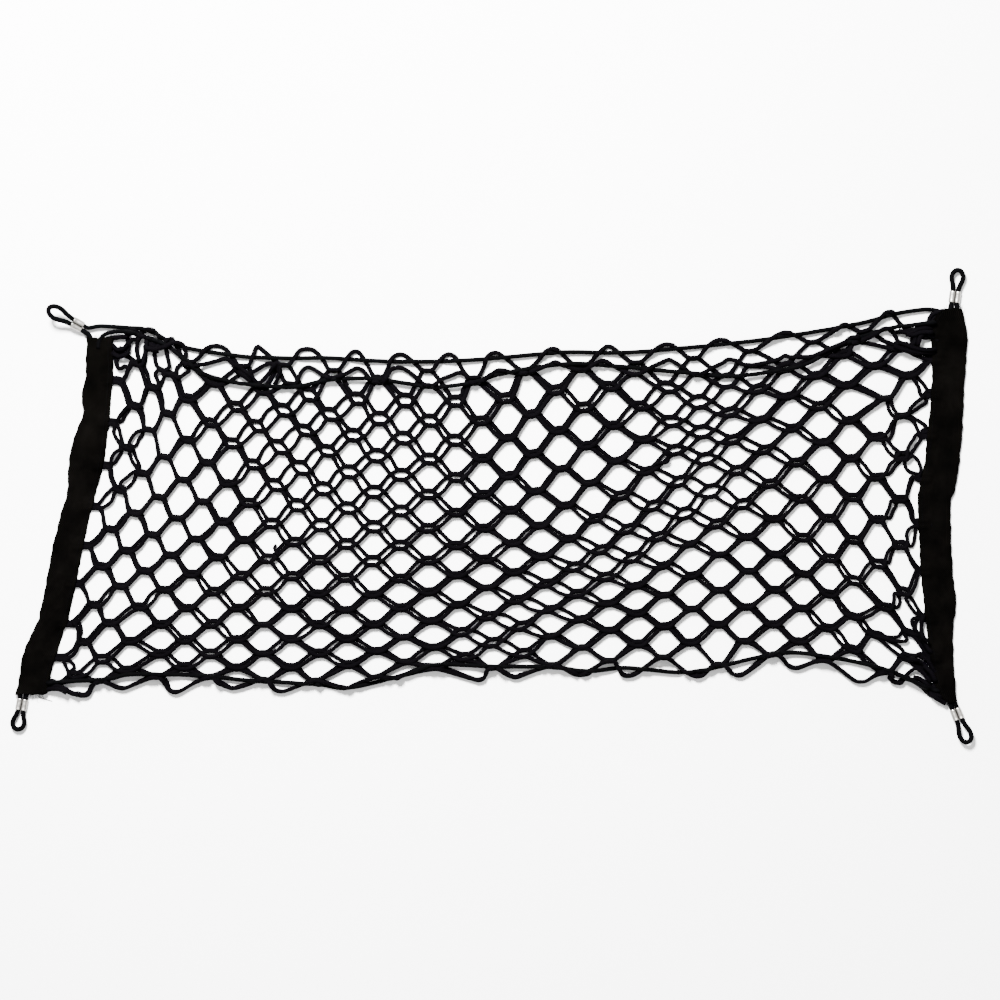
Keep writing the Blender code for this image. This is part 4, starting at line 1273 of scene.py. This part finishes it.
def build_crimp(corner, number):
    """Two metal barrels in one sleeve, pressed flatter at two places."""
    draw = random.Random(CRIMP_SEED + number)
    dents = [(draw.uniform(-most, most), depth) for most, depth in DENTS]
    angles = [math.tau * k / CRIMP_SIDES for k in range(CRIMP_SIDES)]
    skin = [(crimp_reach(a), a) for a in angles]
    half = CRIMP_LENGTH / 2
    inner = half - CRIMP_CUTS_FROM
    stations = [(-half + inset, share) for inset, share in CRIMP_RIM]
    stations += [(x, 1.0) for x in np.linspace(-inner, inner, CRIMP_CUTS)]
    stations += [(half - inset, share) for inset, share in reversed(CRIMP_RIM)]
    shell = bmesh.new()
    place = corner_frame(corner)
    for side in (1, -1):
        rings = []
        for x, rim in stations:
            pressed = sum(
                depth * math.exp(-(((x - at) / DENT_LENGTH) ** 2)) for at, depth in dents
            )
            outer, bore = [], []
            for reach, a in skin:
                y, z = BARREL_OFFSET + reach * math.cos(a), reach * math.sin(a)
                wider, lower = rim + DENT_SPREAD * pressed, rim * (1 - pressed)
                outer.append((x, side * y * wider, z * lower))
                y, z = BARREL_OFFSET + BORE_RADIUS * math.cos(a), BORE_RADIUS * math.sin(a)
                bore.append((x, side * y, z))
            rings.append(
                [[shell.verts.new(place @ Vector(p) * MM) for p in ring] for ring in (outer, bore)]
            )
        from_seam = [abs(reach * math.cos(a) + BARREL_OFFSET) for reach, a in skin]
        for k in range(CRIMP_SIDES):
            after = (k + 1) % CRIMP_SIDES
            on_skin = max(from_seam[k], from_seam[after]) > 1e-3
            for (outer, bore), (outer_2, bore_2) in zip(rings, rings[1:]):
                if on_skin:
                    shell.faces.new((outer[k], outer_2[k], outer_2[after], outer[after])[::side])
                shell.faces.new((bore[k], bore[after], bore_2[after], bore_2[k])[::side])
            for (outer, bore), order in ((rings[0], -side), (rings[-1], side)):
                shell.faces.new((outer[k], outer[after], bore[after], bore[k])[::-order])
    bmesh.ops.remove_doubles(shell, verts=shell.verts, dist=0.01 * MM)
    bmesh.ops.recalc_face_normals(shell, faces=shell.faces)
    mesh = bpy.data.meshes.new(f"crimp_sleeve_{corner}")
    shell.to_mesh(mesh)
    shell.free()
    layer = mesh.uv_layers.new(name="crimp")
    back = place.inverted()
    for loop in mesh.loops:
        x, y, _ = back @ (mesh.vertices[loop.vertex_index].co / MM)
        layer.data[loop.index].uv = (abs(y) / (BARREL_OFFSET + CRIMP_RADIUS), x / CRIMP_LENGTH)
    mesh.shade_smooth()
    piece = place_piece(f"crimp_sleeve_{corner}", mesh, FINISHES["crimp"])
    edges = piece.modifiers.new("edges", "EDGE_SPLIT")
    edges.split_angle = math.radians(EDGE_ANGLE)
    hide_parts(f"crimp_{corner}")


# ---- operators ----

FINISHES = {}


class CARGONET_OT_finishes(bpy.types.Operator):
    """Make the materials of the mesh, cords, tape and crimps"""

    bl_idname = "cargonet.finishes"
    bl_label = "Make the finishes"

    def execute(self, context):
        paint = colours()
        for word, colour in (("mesh", paint.mesh), ("cord", paint.cord), ("thread", paint.cord)):
            FINISHES[word] = strand_finish(colour, *YARNS[word])
        FINISHES["webbing"] = webbing_finish("woven_tape", paint.webbing)
        FINISHES["crimp"] = crimp_finish("pressed_crimp_metal", paint.crimp)
        FINISHES["floor"] = floor_finish("plain_floor", paint.floor)
        return {"FINISHED"}


class CARGONET_OT_stage(bpy.types.Operator):
    """Set out the floor, the lights and the camera above the net"""

    bl_idname = "cargonet.stage"
    bl_label = "Set the stage"

    def execute(self, context):
        settings = context.scene.cargonet_stage
        mesh = bpy.data.meshes.new("floor")
        corners = [(-1, -1), (1, -1), (1, 1), (-1, 1)]
        mesh.from_pydata([(x * FLOOR, y * FLOOR, 0.0) for x, y in corners], [], [(0, 1, 2, 3)])
        floor = bpy.data.objects.new("floor", mesh)
        floor.data.materials.append(FINISHES["floor"])
        context.scene.collection.objects.link(floor)

        world = bpy.data.worlds.new("studio")
        world.use_nodes = True
        background = world.node_tree.nodes["Background"]
        background.inputs["Color"].default_value = (1.0, 1.0, 1.0, 1.0)
        background.inputs["Strength"].default_value = settings.fill
        context.scene.world = world

        lamp = bpy.data.lights.new("key", "AREA")
        lamp.energy = settings.key_power
        lamp.shape = "DISK"
        lamp.size = KEY_SIZE
        key = bpy.data.objects.new("key", lamp)
        key.location = KEY_PLACE
        key.rotation_euler = (-Vector(KEY_PLACE)).to_track_quat("-Z", "Y").to_euler()
        context.scene.collection.objects.link(key)

        lens = bpy.data.cameras.new("camera")
        lens.sensor_width = SENSOR
        lens.lens = SENSOR * settings.camera_height / settings.view_width
        camera = bpy.data.objects.new("camera", lens)
        camera.location = (*VIEW_CENTRE, settings.camera_height)
        context.scene.collection.objects.link(camera)
        context.scene.camera = camera
        return {"FINISHED"}


class CARGONET_OT_net(bpy.types.Operator):
    """Lay out both layers of mesh with the elastic cords threaded through their edges"""

    bl_idname = "cargonet.net"
    bl_label = "Lay the mesh and edge cords"

    def execute(self, context):
        cord = sizes().cord / MM / 2
        cords = {}
        for word, (points, z, band_z) in EDGE_CORDS.items():
            route = [(x, y, z if abs(x) < OPEN_HALF_WIDTH else band_z) for x, y in points]
            if word == "back":
                in_barrel = [in_crimp("top_left", along, -1) for along in BACK_CORD_BARREL]
                first, *others = route
                route = [*in_barrel, (*first[:2], BACK_CORD_START_Z), *others]
            cords[word] = smooth_route(route, CORD_STEP)
        pile, strands = Pile(), {"back": [], "front": []}
        for word, rank in LAYER_RANKS.items():
            layer = Layer(word)
            for course in range(-1, LAST_COURSE):
                route = layer.strand(course)
                radius = thickness(course) * (1 + KNOT_SWELL * route[:, 5])
                strands[word].append((route, radius))
                own_rank = rank + THREADED.get(course, 0.0)
                pile.add(route, radius, own_rank, route[:, 4], route[:, 3] >= HELD_FLAT)
        for number, points in enumerate(BUNCHED + STRAY_ENDS):
            route = bunched_strand(points)
            stray = number >= len(BUNCHED)
            radius = STRAY_SIZE * thickness(LAST_COURSE) if stray else thickness(-1)
            strands["front"].append((route, radius))
            rank = BUNCHED_RANK + RANK_STEP * number
            pile.add(route, radius, rank, 0.0, in_the_open(route))
        for word, rank in CORD_RANKS.items():
            pile.add(cords[word], cord, rank, 0.0, in_the_open(cords[word]))
        mouth, bottom = THREADED.values()
        threads = [(rank + mouth, CORD_RANKS[word]) for word, rank in LAYER_RANKS.items()]
        threads += [(rank + bottom, CORD_RANKS["bottom"]) for rank in LAYER_RANKS.values()]
        pile.settle(threads)
        for word, lines in strands.items():
            tubes = TubeMesh(STRAND_SIDES)
            for course, (route, radius) in enumerate(lines, -1):
                tubes.add(route[:, :3], radius, route[:, 3], *STRAND_LUMPS, course)
            tubes.build(f"net_{word}", FINISHES["mesh"], "net")
            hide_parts(f"net_{word}_panel")
        for word, route in cords.items():
            piece = make_cord(f"cord_{word}", route[:, :3], cord, f"edge_cord_{word}")
        return {"FINISHED"}


class CARGONET_OT_loops(bpy.types.Operator):
    """Bend a hook loop at each corner"""

    bl_idname = "cargonet.loops"
    bl_label = "Bend the corner loops"

    def execute(self, context):
        for corner in CORNERS:
            route = smooth_route(loop_route(corner), CORD_STEP)
            from_crimp = np.linalg.norm(route - np.array(CORNERS[corner][:3]), axis=1)
            free_from = CRIMP_LENGTH / 2 + SWELL_START
            swell = [smoothstep((far - free_from) / SWELL_FADE) for far in from_crimp]
            radius = sizes().loop / MM / 2 * (1 + LOOP_SWELL * np.array(swell))
            make_cord(f"loop_{corner}", route, radius, f"corner_loop_{corner}")
        return {"FINISHED"}


class CARGONET_OT_bands(bpy.types.Operator):
    """Fold a webbing band over each end of the mesh and stitch it"""

    bl_idname = "cargonet.bands"
    bl_label = "Fold the side bands"

    def execute(self, context):
        Band("left", LEFT_BAND, 0).build()
        Band("right", RIGHT_BAND, COLUMNS).build()
        return {"FINISHED"}


class CARGONET_OT_crimps(bpy.types.Operator):
    """Press a two-barrel crimp round the cords at each corner"""

    bl_idname = "cargonet.crimps"
    bl_label = "Press the crimps"

    def execute(self, context):
        for number, corner in enumerate(CORNERS):
            build_crimp(corner, number)
        return {"FINISHED"}


class CARGONET_PT_panel(bpy.types.Panel):
    """The net's sizes, colours and pieces"""

    bl_idname = "CARGONET_PT_panel"
    bl_label = "Cargo Net"
    bl_space_type = "VIEW_3D"
    bl_region_type = "UI"
    bl_category = "Cargo Net"

    def draw(self, context):
        for group in ("sizes", "colours", "stage"):
            box = self.layout.box()
            settings = getattr(context.scene, f"cargonet_{group}")
            for name in settings.__annotations__:
                box.prop(settings, name)
        for operator in OPERATORS:
            self.layout.operator(operator.bl_idname)


GROUPS = {
    "sizes": CARGONET_PG_sizes, "colours": CARGONET_PG_colours, "stage": CARGONET_PG_stage,
}
OPERATORS = (
    CARGONET_OT_finishes,
    CARGONET_OT_stage,
    CARGONET_OT_net,
    CARGONET_OT_loops,
    CARGONET_OT_bands,
    CARGONET_OT_crimps,
)


def register():
    for made in (*GROUPS.values(), *OPERATORS, CARGONET_PT_panel):
        bpy.utils.register_class(made)
    for name, group in GROUPS.items():
        setattr(bpy.types.Scene, f"cargonet_{name}", PointerProperty(type=group))


def unregister():
    for name in GROUPS:
        delattr(bpy.types.Scene, f"cargonet_{name}")
    for made in reversed((*GROUPS.values(), *OPERATORS, CARGONET_PT_panel)):
        bpy.utils.unregister_class(made)


def main():
    register()
    bpy.ops.cargonet.finishes()
    bpy.ops.cargonet.stage()
    bpy.ops.cargonet.net()
    bpy.ops.cargonet.loops()
    bpy.ops.cargonet.bands()
    bpy.ops.cargonet.crimps()


if __name__ == "__main__":
    main()
